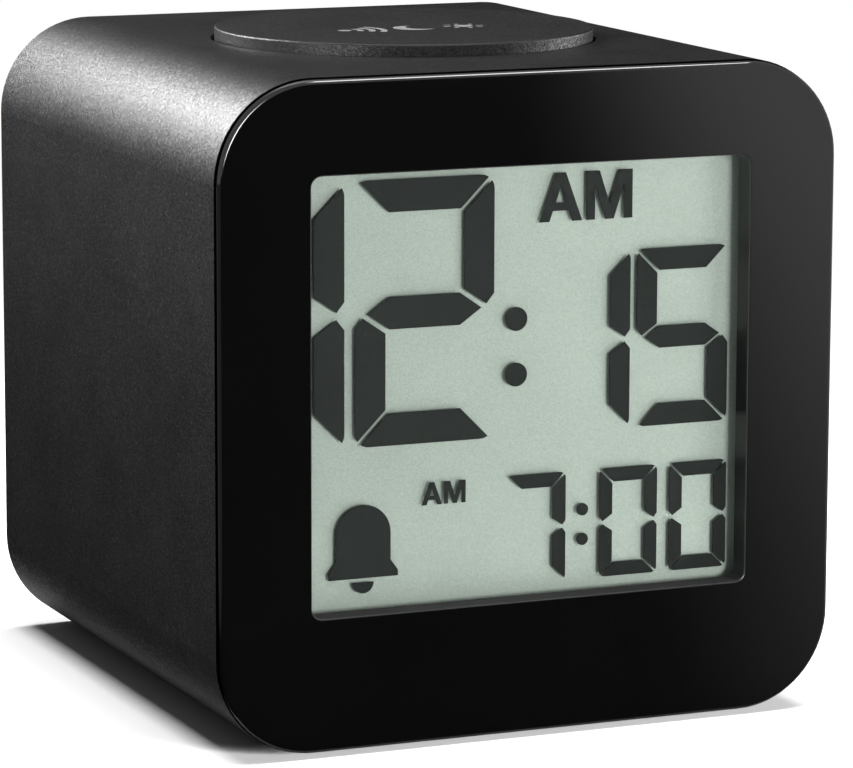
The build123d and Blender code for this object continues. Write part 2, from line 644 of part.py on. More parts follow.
# Front bezel: a gloss plate with the window and a thin rim, a land behind the rim that rests on the shell
# and leaves the parting groove, a spigot that snaps into the shell, and a fence behind the window that
# holds the display stack and the main board
with BuildPart() as front_bezel:
    with BuildSketch(across(FRONT)):
        with Locations((0, MID)):
            RectangleRounded(BEZEL_WIDTH, BEZEL_HEIGHT, BEZEL_RADIUS)
    extrude(amount=-BEZEL_RIM)
    fillet(front_bezel.edges().group_by(Axis.Y)[0], BEZEL_ROUND)
    with BuildSketch(across(FRONT + BEZEL_RIM / 2)):
        with Locations((0, MID)):
            RectangleRounded(LAND_WIDTH, LAND_HEIGHT, LAND_RADIUS)
    extrude(amount=-(SHELL_FRONT - FRONT - BEZEL_RIM / 2))
    with BuildSketch(across(SHELL_FRONT)):
        with Locations((0, MID)):
            RectangleRounded(SPIGOT_WIDTH, SPIGOT_HEIGHT, INNER_RADIUS - FIT)
    extrude(amount=-BEZEL_BACKING)
    with BuildSketch(across(SHELL_FRONT)):
        with Locations((0, MID)):
            bore_width = SPIGOT_WIDTH - 2 * SPIGOT_WALL
            bore_height = SPIGOT_HEIGHT - 2 * SPIGOT_WALL
            RectangleRounded(SPIGOT_WIDTH, SPIGOT_HEIGHT, INNER_RADIUS - FIT)
            RectangleRounded(bore_width, bore_height, INNER_RADIUS - FIT - SPIGOT_WALL, mode=Mode.SUBTRACT)
    extrude(amount=-SPIGOT_LENGTH)
    with BuildSketch(across(SHELL_FRONT)):
        with Locations((0, WINDOW_MID)):
            Rectangle(POCKET_WIDTH + 2 * FENCE_WALL, POCKET_HEIGHT + 2 * FENCE_WALL)
    extrude(amount=-(BOARD_FRONT - SHELL_FRONT))
    for x in both_sides(BOARD_SCREW_SPREAD / 2):
        board_seat = (x, BOARD_FRONT, BOARD_SCREW_Z)
        rod((x, SHELL_FRONT - FUSE, BOARD_SCREW_Z), board_seat, BOARD_BOSS_DIAMETER / 2)
    with BuildSketch(across(PANE_FRONT)):
        with Locations((0, WINDOW_MID)):
            Rectangle(POCKET_WIDTH, POCKET_HEIGHT)
    extrude(amount=-(BOARD_FRONT - PANE_FRONT), mode=Mode.SUBTRACT)
    with BuildSketch(across(FRONT)):
        with Locations((0, WINDOW_MID)):
            RectangleRounded(WINDOW_WIDTH, WINDOW_HEIGHT, WINDOW_CORNER)
    extrude(amount=-REVEAL, mode=Mode.SUBTRACT)
    face_edges = front_bezel.edges().filter_by_position(Axis.Y, FRONT - FIT / 2, FRONT + FIT / 2)
    inside_sides = face_edges.filter_by_position(Axis.X, WINDOW_LEFT - FIT, WINDOW_RIGHT + FIT)
    window_edges = inside_sides.filter_by_position(Axis.Z, WINDOW_BOTTOM - FIT, WINDOW_TOP + FIT)
    fillet(window_edges, WINDOW_ROUND)
    for x in both_sides(BOARD_SCREW_SPREAD / 2):
        pilot((x, BOARD_FRONT, BOARD_SCREW_Z), BACKWARD)
    lip_front = BOARD_BACK + FIT
    hook_top = POCKET_TOP + FENCE_WALL
    for x in both_sides(HOOK_SPREAD / 2):
        hook_left = x - HOOK_WIDTH / 2
        hook_right = x + HOOK_WIDTH / 2
        arm_low = (hook_left, BOARD_FRONT - FUSE, BOARD_TOP + FIT)
        box_between(arm_low, (hook_right, lip_front + HOOK_THICK, hook_top))
        lip_low = (hook_left, lip_front, BOARD_TOP - HOOK_LAP)
        box_between(lip_low, (hook_right, lip_front + HOOK_THICK, hook_top))
    for low, high in snap_ridges(0):
        box_between(low, high)
save(front_bezel, "front_bezel")

# Display pane: the clear sheet that closes the window from behind
with BuildPart() as display_window:
    with BuildSketch(across(PANE_FRONT)):
        with Locations((0, WINDOW_MID)):
            Rectangle(GLASS_WIDTH, FRONT_GLASS_HEIGHT)
    extrude(amount=-PANE_THICK)
save(display_window, "display_window")

# Front glass of the display, with a contact ledge above and below the rear glass
with BuildPart() as lcd_front_glass:
    with BuildSketch(across(FRONT_GLASS_FRONT)):
        with Locations((0, WINDOW_MID)):
            Rectangle(GLASS_WIDTH, FRONT_GLASS_HEIGHT)
    extrude(amount=-FRONT_GLASS_THICK)
save(lcd_front_glass, "lcd_front_glass")

# Segments that are switched on: 12:15 with its AM mark, and the alarm time 7:00 with a bell and an AM mark
SLIT_SHARE = 0.115
END_SHARE = 0.43
TIP_IN_SHARE = 0.257
TIP_GAP_SHARE = 0.11
INNER_END_SHARE = 0.616
BAR_TIP_SHARE = 0.42
BAR_SHOULDER_SHARE = 1.14
ROUND_SHARE = 0.45
LIT_SEGMENTS = {"0": "abcdef", "1": "bc", "2": "abged", "5": "afgcd", "7": "abc"}
LAYOUT_LEFT = -LAYOUT_WIDTH / 2
LAYOUT_RIGHT = LAYOUT_WIDTH / 2
LAYOUT_BOTTOM = -LAYOUT_HEIGHT / 2
LAYOUT_TOP = LAYOUT_HEIGHT / 2
LAYOUT_SCALE = min(WINDOW_WIDTH / LAYOUT_WIDTH, WINDOW_HEIGHT / LAYOUT_HEIGHT)
layout_plane = Plane(origin=(0, SEGMENT_FRONT, WINDOW_MID), x_dir=(1, 0, 0), z_dir=(0, -1, 0))
time_bottom = LAYOUT_BOTTOM + TIME_FROM_BOTTOM
hour_left = LAYOUT_LEFT + HOUR_FROM_LEFT
hour_tens_left = hour_left - HOUR_SPACE - HOUR_WIDTH
minute_left = LAYOUT_RIGHT - MINUTE_FROM_RIGHT - MINUTE_WIDTH
minute_tens_left = minute_left - MINUTE_SPACE - MINUTE_WIDTH
alarm_bottom = LAYOUT_BOTTOM + ALARM_FROM_BOTTOM
alarm_left = LAYOUT_RIGHT - ALARM_FROM_RIGHT - ALARM_WIDTH
alarm_tens_left = alarm_left - ALARM_SPACE - ALARM_WIDTH
alarm_hour_left = alarm_tens_left - ALARM_COLON_SPACE - ALARM_WIDTH
HOUR_CELL = (HOUR_WIDTH, HOUR_HEIGHT, HOUR_STROKE)
MINUTE_CELL = (MINUTE_WIDTH, MINUTE_HEIGHT, MINUTE_STROKE)
ALARM_CELL = (ALARM_WIDTH, ALARM_HEIGHT, ALARM_STROKE)
DIGITS = [
    ("1", hour_tens_left, time_bottom, HOUR_CELL),
    ("2", hour_left, time_bottom, HOUR_CELL),
    ("1", minute_tens_left, time_bottom, MINUTE_CELL),
    ("5", minute_left, time_bottom, MINUTE_CELL),
    ("7", alarm_hour_left, alarm_bottom, ALARM_CELL),
    ("0", alarm_tens_left, alarm_bottom, ALARM_CELL),
    ("0", alarm_left, alarm_bottom, ALARM_CELL),
]
time_colon_x = hour_left + HOUR_WIDTH + TIME_COLON_FROM_HOUR
alarm_colon_x = alarm_tens_left - ALARM_COLON_SPACE / 2
COLONS = [(time_colon_x, time_bottom + rise, TIME_COLON_RADIUS) for rise in TIME_COLON_HEIGHTS]
COLONS += [(alarm_colon_x, alarm_bottom + rise, ALARM_COLON_RADIUS) for rise in ALARM_COLON_HEIGHTS]
# The letters A and M at a height of one
LETTER_A = [(0, 0), (0.37, 1), (0.585, 1), (0.955, 0), (0.735, 0), (0.655, 0.22), (0.3, 0.22), (0.22, 0)]
LETTER_A_EYE = [(0.365, 0.39), (0.59, 0.39), (0.4775, 0.74)]
LETTER_M_LEFT = [(0.515, 0.33), (0.29, 1), (0, 1), (0, 0), (0.19, 0), (0.19, 0.7), (0.42, 0)]
letter_m_right = [(2 * LETTER_M_LEFT[0][0] - x, z) for x, z in reversed(LETTER_M_LEFT[1:])]
LETTER_M = LETTER_M_LEFT + letter_m_right
LETTER_M_SHIFT = 1.05
MARKS = [
    (LAYOUT_LEFT + TIME_MARK_FROM_LEFT, LAYOUT_TOP - TIME_MARK_FROM_TOP - TIME_MARK_HEIGHT, TIME_MARK_HEIGHT),
    (LAYOUT_LEFT + ALARM_MARK_FROM_LEFT, LAYOUT_BOTTOM + ALARM_MARK_FROM_BOTTOM, ALARM_MARK_HEIGHT),
]
with BuildPart() as lcd_segments:
    for digit, left, bottom, (width, height, stroke) in DIGITS:
        outlines = segment_outlines(left, bottom, width, height, stroke)
        with BuildSketch(layout_plane):
            for segment in LIT_SEGMENTS[digit]:
                with BuildLine():
                    Polyline(*outlines[segment], close=True)
                make_face()
            with Locations((left + width / 2, bottom + height / 2)):
                RectangleRounded(width, height, ROUND_SHARE * stroke, mode=Mode.INTERSECT)
            scale(by=LAYOUT_SCALE)
        extrude(amount=-SEGMENT_THICK)
    with BuildSketch(layout_plane):
        for x, z, radius in COLONS:
            with Locations((x, z)):
                Circle(radius)
        for x, z, height in MARKS:
            with BuildLine():
                Polyline(*[(x + height * u, z + height * v) for u, v in LETTER_A], close=True)
            make_face()
            with BuildLine():
                Polyline(*[(x + height * u, z + height * v) for u, v in LETTER_A_EYE], close=True)
            make_face(mode=Mode.SUBTRACT)
            m_left = x + height * LETTER_M_SHIFT
            with BuildLine():
                Polyline(*[(m_left + height * u, z + height * v) for u, v in LETTER_M], close=True)
            make_face()
        bell_x = LAYOUT_LEFT + BELL_FROM_LEFT
        brim_low = LAYOUT_BOTTOM + BELL_FROM_BOTTOM
        brim_high = brim_low + BELL_BRIM_THICK
        dome_centre = brim_low + BELL_HEIGHT - BELL_RADIUS
        brim_half = BELL_RADIUS + BELL_BRIM_REACH
        with BuildLine():
            dome_left = (bell_x - BELL_RADIUS, dome_centre)
            dome_right = (bell_x + BELL_RADIUS, dome_centre)
            ThreePointArc(dome_left, (bell_x, dome_centre + BELL_RADIUS), dome_right)
            Polyline(
                dome_right,
                (bell_x + BELL_RADIUS, brim_high + BELL_FLARE),
                (bell_x + brim_half, brim_high),
                (bell_x + brim_half, brim_low),
                (bell_x - brim_half, brim_low),
                (bell_x - brim_half, brim_high),
                (bell_x - BELL_RADIUS, brim_high + BELL_FLARE),
                dome_left,
            )
        make_face()
        clapper_z = brim_low - CLAPPER_GAP
        with BuildLine():
            clapper_left = (bell_x - CLAPPER_RADIUS, clapper_z)
            clapper_right = (bell_x + CLAPPER_RADIUS, clapper_z)
            ThreePointArc(clapper_left, (bell_x, clapper_z - CLAPPER_RADIUS), clapper_right)
            Line(clapper_right, clapper_left)
        make_face()
        scale(by=LAYOUT_SCALE)
    extrude(amount=-SEGMENT_THICK)
save(lcd_segments, "lcd_segments")

# Rear glass of the display
with BuildPart() as lcd_rear_glass:
    with BuildSketch(across(REAR_GLASS_FRONT)):
        with Locations((0, WINDOW_MID)):
            Rectangle(GLASS_WIDTH, REAR_GLASS_HEIGHT)
    extrude(amount=-REAR_GLASS_THICK)
save(lcd_rear_glass, "lcd_rear_glass")

# Reflector: the pale sheet behind the glasses
with BuildPart() as lcd_reflector:
    with BuildSketch(across(REFLECTOR_FRONT)):
        with Locations((0, WINDOW_MID)):
            Rectangle(GLASS_WIDTH, REAR_GLASS_HEIGHT)
    extrude(amount=-REFLECTOR_THICK)
save(lcd_reflector, "lcd_reflector")

# Light guide: a clear slab, notched at both sides for the lamps that shine into its edge
led_reach = GLASS_WIDTH / 2
led_near = led_reach - LED_WIDTH - FIT
with BuildPart() as light_guide:
    with BuildSketch(across(GUIDE_FRONT)):
        with Locations((0, WINDOW_MID)):
            Rectangle(GLASS_WIDTH, REAR_GLASS_HEIGHT)
        with Locations((-led_reach, WINDOW_MID), (led_reach, WINDOW_MID)):
            Rectangle(2 * (led_reach - led_near), LED_LENGTH + 2 * FIT, mode=Mode.SUBTRACT)
    extrude(amount=-GUIDE_THICK)
save(light_guide, "light_guide")

# Backlight lamps, standing on the main board in the notches of the light guide
with BuildPart() as backlight_leds:
    for side in both_sides(led_reach - LED_WIDTH / 2):
        led_low = (side - LED_WIDTH / 2, BOARD_FRONT - LED_HEIGHT, WINDOW_MID - LED_LENGTH / 2)
        box_between(led_low, (side + LED_WIDTH / 2, BOARD_FRONT, WINDOW_MID + LED_LENGTH / 2))
save(backlight_leds, "backlight_leds")

# Elastomer strips that carry the signals from the board to the ledges of the front glass
with BuildPart() as zebra_strips:
    for strip_z in (
        WINDOW_MID - REAR_GLASS_HEIGHT / 2 - CONTACT_LEDGE / 2,
        WINDOW_MID + REAR_GLASS_HEIGHT / 2 + CONTACT_LEDGE / 2,
    ):
        strip_low = (-WINDOW_WIDTH / 2, SEGMENT_FRONT, strip_z - ZEBRA_THICK / 2)
        box_between(strip_low, (WINDOW_WIDTH / 2, BOARD_FRONT, strip_z + ZEBRA_THICK / 2))
save(zebra_strips, "zebra_strips")

# Main board, held by two screws below and two hooks above
with BuildPart() as main_board:
    with BuildSketch(across(BOARD_FRONT)):
        with Locations((0, (BOARD_BOTTOM + BOARD_TOP) / 2)):
            RectangleRounded(BOARD_WIDTH, BOARD_TOP - BOARD_BOTTOM, BOARD_CORNER)
        with Locations(*[(x, BOARD_SCREW_Z) for x in both_sides(BOARD_SCREW_SPREAD / 2)]):
            Circle(SCREW_SHANK / 2 + FIT, mode=Mode.SUBTRACT)
    extrude(amount=-BOARD_THICK)
save(main_board, "main_board")

with BuildPart() as board_screws:
    for x in both_sides(BOARD_SCREW_SPREAD / 2):
        screw((x, BOARD_BACK, BOARD_SCREW_Z), BACKWARD, BOARD_THICK + SCREW_BITE)
save(board_screws, "board_screws")

# Places of the parts on the back of the main board, as shares of the board's width and the window's height
def board_place(share_x, share_z):
    """A place on the back of the main board, from the middle of the window."""
    return (share_x * BOARD_WIDTH, WINDOW_MID + share_z * WINDOW_HEIGHT)


BLOB_PLACE = board_place(-0.12, 0.3)
CHIP_PLACE = board_place(0, -0.2)
CRYSTAL_PLACE = board_place(-0.32, 0.2)
CAPACITOR_PLACE = board_place(0.24, -0.4)
SNOOZE_SOCKET = board_place(0.16, 0.25)
KEY_SOCKET = (KEYS_X, WINDOW_MID)
SPEAKER_SOCKET = board_place(-0.3, 0)
BATTERY_SOCKET = board_place(-0.3, -0.35)

# Clock controller under its epoxy blob
with BuildPart() as controller_blob:
    blob_centre = (BLOB_PLACE[0], BOARD_BACK, BLOB_PLACE[1])
    with BuildSketch(Plane(origin=blob_centre)):
        with BuildLine():
            blob_radius = BLOB_DIAMETER / 2
            blob_slope = (blob_radius / 2, dome_height(blob_radius / 2, blob_radius, BLOB_HEIGHT))
            Line((0, 0), (blob_radius, 0))
            ThreePointArc((blob_radius, 0), blob_slope, (0, BLOB_HEIGHT))
            Line((0, BLOB_HEIGHT), (0, 0))
        make_face()
    revolve(axis=Axis(blob_centre, (0, 1, 0)))
save(controller_blob, "controller_blob")

# Voice memory chip with its two rows of legs
with BuildPart() as voice_chip:
    chip_x, chip_z = CHIP_PLACE
    chip_low = (chip_x - CHIP_LENGTH / 2, BOARD_BACK + CHIP_LEG_THICK / 2, chip_z - CHIP_WIDTH / 2)
    chip_high = (chip_x + CHIP_LENGTH / 2, BOARD_BACK + CHIP_HEIGHT, chip_z + CHIP_WIDTH / 2)
    box_between(chip_low, chip_high)
    for leg in range(CHIP_LEGS_A_SIDE):
        leg_x = chip_x + (leg - (CHIP_LEGS_A_SIDE - 1) / 2) * CHIP_LEG_PITCH
        leg_reach = CHIP_WIDTH / 2 + CHIP_LEG_REACH
        leg_low = (leg_x - CHIP_LEG_WIDTH / 2, BOARD_BACK, chip_z - leg_reach)
        box_between(leg_low, (leg_x + CHIP_LEG_WIDTH / 2, BOARD_BACK + CHIP_LEG_THICK, chip_z + leg_reach))
save(voice_chip, "voice_chip")

# Timing crystal in its can, lying on the board
with BuildPart() as timing_crystal:
    crystal_x, crystal_z = CRYSTAL_PLACE
    crystal_y = BOARD_BACK + CRYSTAL_DIAMETER / 2
    crystal_start = (crystal_x - CRYSTAL_LENGTH / 2, crystal_y, crystal_z)
    rod(crystal_start, (crystal_x + CRYSTAL_LENGTH / 2, crystal_y, crystal_z), CRYSTAL_DIAMETER / 2)
save(timing_crystal, "timing_crystal")

with BuildPart() as capacitors:
    for place in range(2):
        can_x = CAPACITOR_PLACE[0] + place * CAPACITOR_SPACE
        can_foot = (can_x, BOARD_BACK, CAPACITOR_PLACE[1])
        rod(can_foot, (can_x, BOARD_BACK + CAPACITOR_LENGTH, CAPACITOR_PLACE[1]), CAPACITOR_DIAMETER / 2)
save(capacitors, "capacitors")

# Sockets that the ribbons and leads plug into
with BuildPart() as board_connectors:
    for x, z in (SNOOZE_SOCKET, KEY_SOCKET, SPEAKER_SOCKET, BATTERY_SOCKET):
        socket_low = (x - SOCKET_WIDTH / 2, BOARD_BACK, z - SOCKET_HEIGHT / 2)
        box_between(socket_low, (x + SOCKET_WIDTH / 2, SOCKET_BACK, z + SOCKET_HEIGHT / 2))
save(board_connectors, "board_connectors")

# Top button: a round cap with a skirt, a flange under the deck, a plunger and two guide pins
with BuildPart() as top_button:
    with BuildSketch(Plane.XZ):
        with BuildLine():
            Polyline(
                (0, BUTTON_TOP),
                (BUTTON_RADIUS, BUTTON_TOP),
                (BUTTON_RADIUS, FLANGE_TOP),
                (FLANGE_RADIUS, FLANGE_TOP),
                (FLANGE_RADIUS, FLANGE_TOP - FLANGE_THICK),
                (BUTTON_RADIUS - BUTTON_SKIRT, FLANGE_TOP - FLANGE_THICK),
                (BUTTON_RADIUS - BUTTON_SKIRT, CAP_UNDERSIDE),
                (PLUNGER_DIAMETER / 2, CAP_UNDERSIDE),
                (PLUNGER_DIAMETER / 2, PLUNGER_BOTTOM),
                (0, PLUNGER_BOTTOM),
                close=True,
            )
        make_face()
    revolve(axis=Axis.Z)
    fillet(top_button.edges().filter_by(GeomType.CIRCLE).sort_by(Axis.Z)[-1], BUTTON_EDGE)
    for y in both_sides(PIN_SPREAD / 2):
        rod((0, y, BRIDGE_BOTTOM - PIN_TAIL), (0, y, CAP_UNDERSIDE + FUSE), PIN_DIAMETER / 2)
save(top_button, "top_button")

# Return spring of the top button, wound round the switch
spring_foot = Plane(origin=(0, 0, SNOOZE_BOARD_TOP + SPRING_WIRE / 2 + SEAT_PLAY))
spring_climb = SPRING_LENGTH - SPRING_WIRE - 2 * SEAT_PLAY
with BuildPart() as button_spring:
    with BuildLine() as spring_path:
        spring_radius = (SPRING_DIAMETER - SPRING_WIRE) / 2
        for start, end, tangent in coil_arcs(spring_foot, spring_radius, spring_climb, SPRING_TURNS):
            TangentArc(start, end, tangent=tangent)
    with BuildSketch(Plane(origin=spring_path.line @ 0, z_dir=spring_path.line % 0)):
        Circle(SPRING_WIRE / 2)
    sweep()
save(button_spring, "button_spring")
print("gap between the turns of the button spring:", round(spring_climb / SPRING_TURNS - SPRING_WIRE, 2))

# Bridge under the button: a plate screwed to the posts of the shell, with holes for the guide pins
# and two stakes that hold the switch board
with BuildPart() as button_bridge:
    with BuildSketch(Plane.XY.offset(BRIDGE_BOTTOM)):
        Rectangle(2 * (POST_X + BRIDGE_MARGIN), PIN_SPREAD + 2 * BRIDGE_MARGIN)
        with Locations(*[(0, y) for y in both_sides(PIN_SPREAD / 2)]):
            Circle(PIN_DIAMETER / 2 + PIN_GAP, mode=Mode.SUBTRACT)
        with Locations(*[(x, 0) for x in both_sides(POST_X)]):
            Circle(SCREW_SHANK / 2 + FIT, mode=Mode.SUBTRACT)
    extrude(amount=BRIDGE_THICK)
    for x in both_sides(STAKE_SPREAD / 2):
        rod((x, 0, BRIDGE_TOP - FUSE), (x, 0, SNOOZE_BOARD_TOP + STAKE_PROUD), STAKE_DIAMETER / 2)
        stake_seat = SNOOZE_BOARD_TOP + SEAT_PLAY
        rod((x, 0, stake_seat), (x, 0, SNOOZE_BOARD_TOP + STAKE_PROUD), STAKE_HEAD / 2)
save(button_bridge, "button_bridge")

with BuildPart() as bridge_screws:
    for x in both_sides(POST_X):
        screw((x, 0, BRIDGE_BOTTOM), DOWNWARD, BRIDGE_THICK + SCREW_BITE)
save(bridge_screws, "bridge_screws")

# Switch board under the top button, with its switch
with BuildPart() as snooze_board:
    with BuildSketch(Plane.XY.offset(BRIDGE_TOP)):
        Rectangle(SNOOZE_BOARD_WIDTH, SNOOZE_BOARD_DEPTH)
        with Locations(*[(x, 0) for x in both_sides(STAKE_SPREAD / 2)]):
            Circle(STAKE_DIAMETER / 2 + FIT, mode=Mode.SUBTRACT)
    extrude(amount=SNOOZE_BOARD_THICK)
save(snooze_board, "snooze_board")

with BuildPart() as snooze_switch:
    push_switch((0, 0, SNOOZE_BOARD_TOP), -DOWNWARD)
save(snooze_switch, "snooze_switch")

with BuildPart() as snooze_switch_stem:
    switch_stem((0, 0, SNOOZE_BOARD_TOP), -DOWNWARD)
save(snooze_switch_stem, "snooze_switch_stem")

# Places of the four setting keys on the back
KEY_PLACES = {
    "time_key": (KEYS_X + KEY_PITCH / 2, KEYS_Z + KEY_PITCH / 2),
    "alarm_key": (KEYS_X - KEY_PITCH / 2, KEYS_Z + KEY_PITCH / 2),
    "hour_key": (KEYS_X + KEY_PITCH / 2, KEYS_Z - KEY_PITCH / 2),
    "minute_key": (KEYS_X - KEY_PITCH / 2, KEYS_Z - KEY_PITCH / 2),
}
KEY_POSTS = [(KEYS_X, KEYS_Z)] + [(KEYS_X + shift, SLIDER_Z) for shift in both_sides(KEY_POST_SPREAD / 2)]
grip_left = KEYS_X - (SLIDER_TRAVEL + SLIDER_GRIP_WIDTH) / 2

# Rear cover: the plate with the battery bay, the speaker ring and grille, the key holes, the slot of
# the alarm switch, posts for the key board, and two tongues that locate it in the shell
with BuildPart() as rear_cover:
    with BuildSketch(across(COVER_IN)):
        with Locations((0, MID)):
            RectangleRounded(COVER_WIDTH, COVER_HEIGHT, INNER_RADIUS - FIT)
    extrude(amount=-COVER_THICK)
    for x in both_sides(TONGUE_SPREAD / 2):
        low, high = tongue_corners(x, 0)
        box_between(low, high)
    bay_low = (-BAY_HALF - BAY_WALL, BAY_BACK - BAY_WALL, BAY_LOW - BAY_WALL)
    box_between(bay_low, (BAY_HALF + BAY_WALL, COVER_IN + FUSE, BAY_HIGH + BAY_WALL))
    with BuildSketch(across(COVER_IN - SPEAKER_RING_LENGTH)):
        with Locations((SPEAKER_X, SPEAKER_Z)):
            Circle(SPEAKER_RING_OUTER)
            Circle(SPEAKER_RING_INNER, mode=Mode.SUBTRACT)
    extrude(amount=-SPEAKER_RING_LENGTH)
    for x, z in KEY_POSTS:
        rod((x, KEY_BOARD_REAR, z), (x, COVER_IN + FUSE, z), KEY_POST_DIAMETER / 2)
        pilot((x, KEY_BOARD_REAR, z), FORWARD)
    cavity_low = (-BAY_HALF, BAY_BACK, BAY_LOW)
    box_between(cavity_low, (BAY_HALF, REAR, BAY_HIGH), Mode.SUBTRACT)
    rabbet_low = (-RABBET_HALF, DOOR_IN, RABBET_LOW)
    box_between(rabbet_low, (RABBET_HALF, REAR, RABBET_HIGH), Mode.SUBTRACT)
    for x in both_sides(TAB_SPREAD / 2):
        notch_left = x - TAB_WIDTH / 2 - FIT
        notch_right = x + TAB_WIDTH / 2 + FIT
        notch_front = TAB_FRONT - TAB_SWING
        sill_low = (notch_left, notch_front, TAB_LOW - TAB_GAP)
        box_between(sill_low, (notch_right, COVER_IN, RABBET_LOW), Mode.SUBTRACT)
        ledge_low = (notch_left, notch_front, RABBET_LOW)
        box_between(ledge_low, (notch_right, DOOR_IN, BAY_LOW), Mode.SUBTRACT)
    for z in (LOWER_CELL_Z, UPPER_CELL_Z):
        slot_half = CONTACT_TAIL_WIDTH / 2 + FIT
        slot_low = (-BAY_HALF, BAY_BACK - 2 * BAY_WALL, z - slot_half)
        box_between(slot_low, (CONTACT_THICK + FIT - BAY_HALF, BAY_BACK, z + slot_half), Mode.SUBTRACT)
    with BuildSketch(across(COVER_IN)):
        with Locations((SPEAKER_X, SPEAKER_Z)):
            Circle(GRILLE_HOLE / 2)
            for ring in range(1, GRILLE_RINGS + 1):
                with PolarLocations(ring * GRILLE_STEP, 6 * ring):
                    Circle(GRILLE_HOLE / 2)
        with Locations(*KEY_PLACES.values()):
            Circle(KEY_RADIUS + KEY_GAP)
        with Locations((KEYS_X, SLIDER_Z)):
            slot_width = SLIDER_GRIP_WIDTH + SLIDER_TRAVEL + 2 * SLIDER_GAP
            Rectangle(slot_width, SLIDER_GRIP_HEIGHT + 2 * SLIDER_GAP)
        with Locations(*[(x, COVER_BOSS_Z) for x in both_sides(COVER_BOSS_X)]):
            Circle(SCREW_SHANK / 2 + FIT)
    extrude(amount=-COVER_THICK, mode=Mode.SUBTRACT)
    with BuildSketch(across(COVER_OUT - SCREW_HEAD_HEIGHT)):
        with Locations(*[(x, COVER_BOSS_Z) for x in both_sides(COVER_BOSS_X)]):
            Circle(SCREW_HEAD / 2 + FIT)
    extrude(amount=-SCREW_HEAD_HEIGHT, mode=Mode.SUBTRACT)
save(rear_cover, "rear_cover")

with BuildPart() as cover_screws:
    head_seat = COVER_OUT - SCREW_HEAD_HEIGHT
    for x in both_sides(COVER_BOSS_X):
        screw((x, head_seat, COVER_BOSS_Z), BACKWARD, head_seat - COVER_IN + SCREW_BITE)
save(cover_screws, "cover_screws")

# Battery door: a plate in the rabbet of the cover, tilting on two hooked tabs along its lower edge
with BuildPart() as battery_door:
    plate_low = (FIT - RABBET_HALF, DOOR_IN + SEAT_PLAY, DOOR_LOW)
    box_between(plate_low, (RABBET_HALF - FIT, COVER_OUT, DOOR_HIGH))
    for x in both_sides(TAB_SPREAD / 2):
        tab_left = x - TAB_WIDTH / 2
        tab_right = x + TAB_WIDTH / 2
        box_between((tab_left, TAB_FRONT, DOOR_LOW), (tab_right, DOOR_IN + FUSE, TAB_HIGH))
        box_between((tab_left, TAB_FRONT, TAB_LOW), (tab_right, TAB_BACK, TAB_HIGH))
    thumb_deep = (0, COVER_OUT - THUMB_DEPTH, DOOR_HIGH)
    rod(thumb_deep, (0, REAR, DOOR_HIGH), THUMB_RADIUS, Mode.SUBTRACT)
save(battery_door, "battery_door")

# The two cells, lying across the bay with their nubs to opposite sides
for name, cell_z, way in (("upper_battery", UPPER_CELL_Z, 1), ("lower_battery", LOWER_CELL_Z, -1)):
    nub_tip = way * (BAY_HALF - CONTACT_THICK - SEAT_PLAY)
    can_end = nub_tip - way * NUB_LENGTH
    can_start = nub_tip - way * (BATTERY_LENGTH - 2 * SEAT_PLAY)
    with BuildPart() as battery:
        rod((can_start, CELL_Y, cell_z), (can_end, CELL_Y, cell_z), BATTERY_DIAMETER / 2)
        fillet(battery.edges().filter_by(GeomType.CIRCLE), BATTERY_EDGE)
        rod((can_end - way * FUSE, CELL_Y, cell_z), (nub_tip, CELL_Y, cell_z), NUB_DIAMETER / 2)
    save(battery, name)

# Battery contacts: one plate links the cells at the right end; two plates with tails are at the left
with BuildPart() as link_contact:
    link_low = (BAY_HALF - CONTACT_THICK, CELL_Y - CONTACT_WIDTH / 2, LOWER_CELL_Z - CONTACT_WIDTH / 2)
    box_between(link_low, (BAY_HALF, CELL_Y + CONTACT_WIDTH / 2, UPPER_CELL_Z + CONTACT_WIDTH / 2))
save(link_contact, "link_contact")

for name, cell_z in (("positive_contact", LOWER_CELL_Z), ("negative_contact", UPPER_CELL_Z)):
    with BuildPart() as end_contact:
        plate_low = (-BAY_HALF, CELL_Y - CONTACT_WIDTH / 2, cell_z - CONTACT_WIDTH / 2)
        plate_high = (CONTACT_THICK - BAY_HALF, CELL_Y + CONTACT_WIDTH / 2, cell_z + CONTACT_WIDTH / 2)
        box_between(plate_low, plate_high)
        tail_low = (-BAY_HALF, TAIL_FRONT, cell_z - CONTACT_TAIL_WIDTH / 2)
        box_between(tail_low, (CONTACT_THICK - BAY_HALF, CELL_Y, cell_z + CONTACT_TAIL_WIDTH / 2))
    save(end_contact, name)

# Coil springs that press on the flat ends of the cells
contact_spring_radius = (CONTACT_SPRING_DIAMETER - CONTACT_SPRING_WIRE) / 2
contact_spring_climb = CONTACT_SPRING_LENGTH - CONTACT_SPRING_WIRE - 2 * SEAT_PLAY
contact_spring_foot = BAY_HALF - CONTACT_THICK - CONTACT_SPRING_WIRE / 2 - SEAT_PLAY
with BuildPart() as contact_springs:
    for way, cell_z in ((1, LOWER_CELL_Z), (-1, UPPER_CELL_Z)):
        foot = Plane(origin=(way * contact_spring_foot, CELL_Y, cell_z), z_dir=(-way, 0, 0))
        arcs = coil_arcs(foot, contact_spring_radius, contact_spring_climb, CONTACT_SPRING_TURNS)
        with BuildLine() as contact_path:
            for start, end, tangent in arcs:
                TangentArc(start, end, tangent=tangent)
        with BuildSketch(Plane(origin=contact_path.line @ 0, z_dir=contact_path.line % 0)):
            Circle(CONTACT_SPRING_WIRE / 2)
        sweep()
save(contact_springs, "contact_springs")

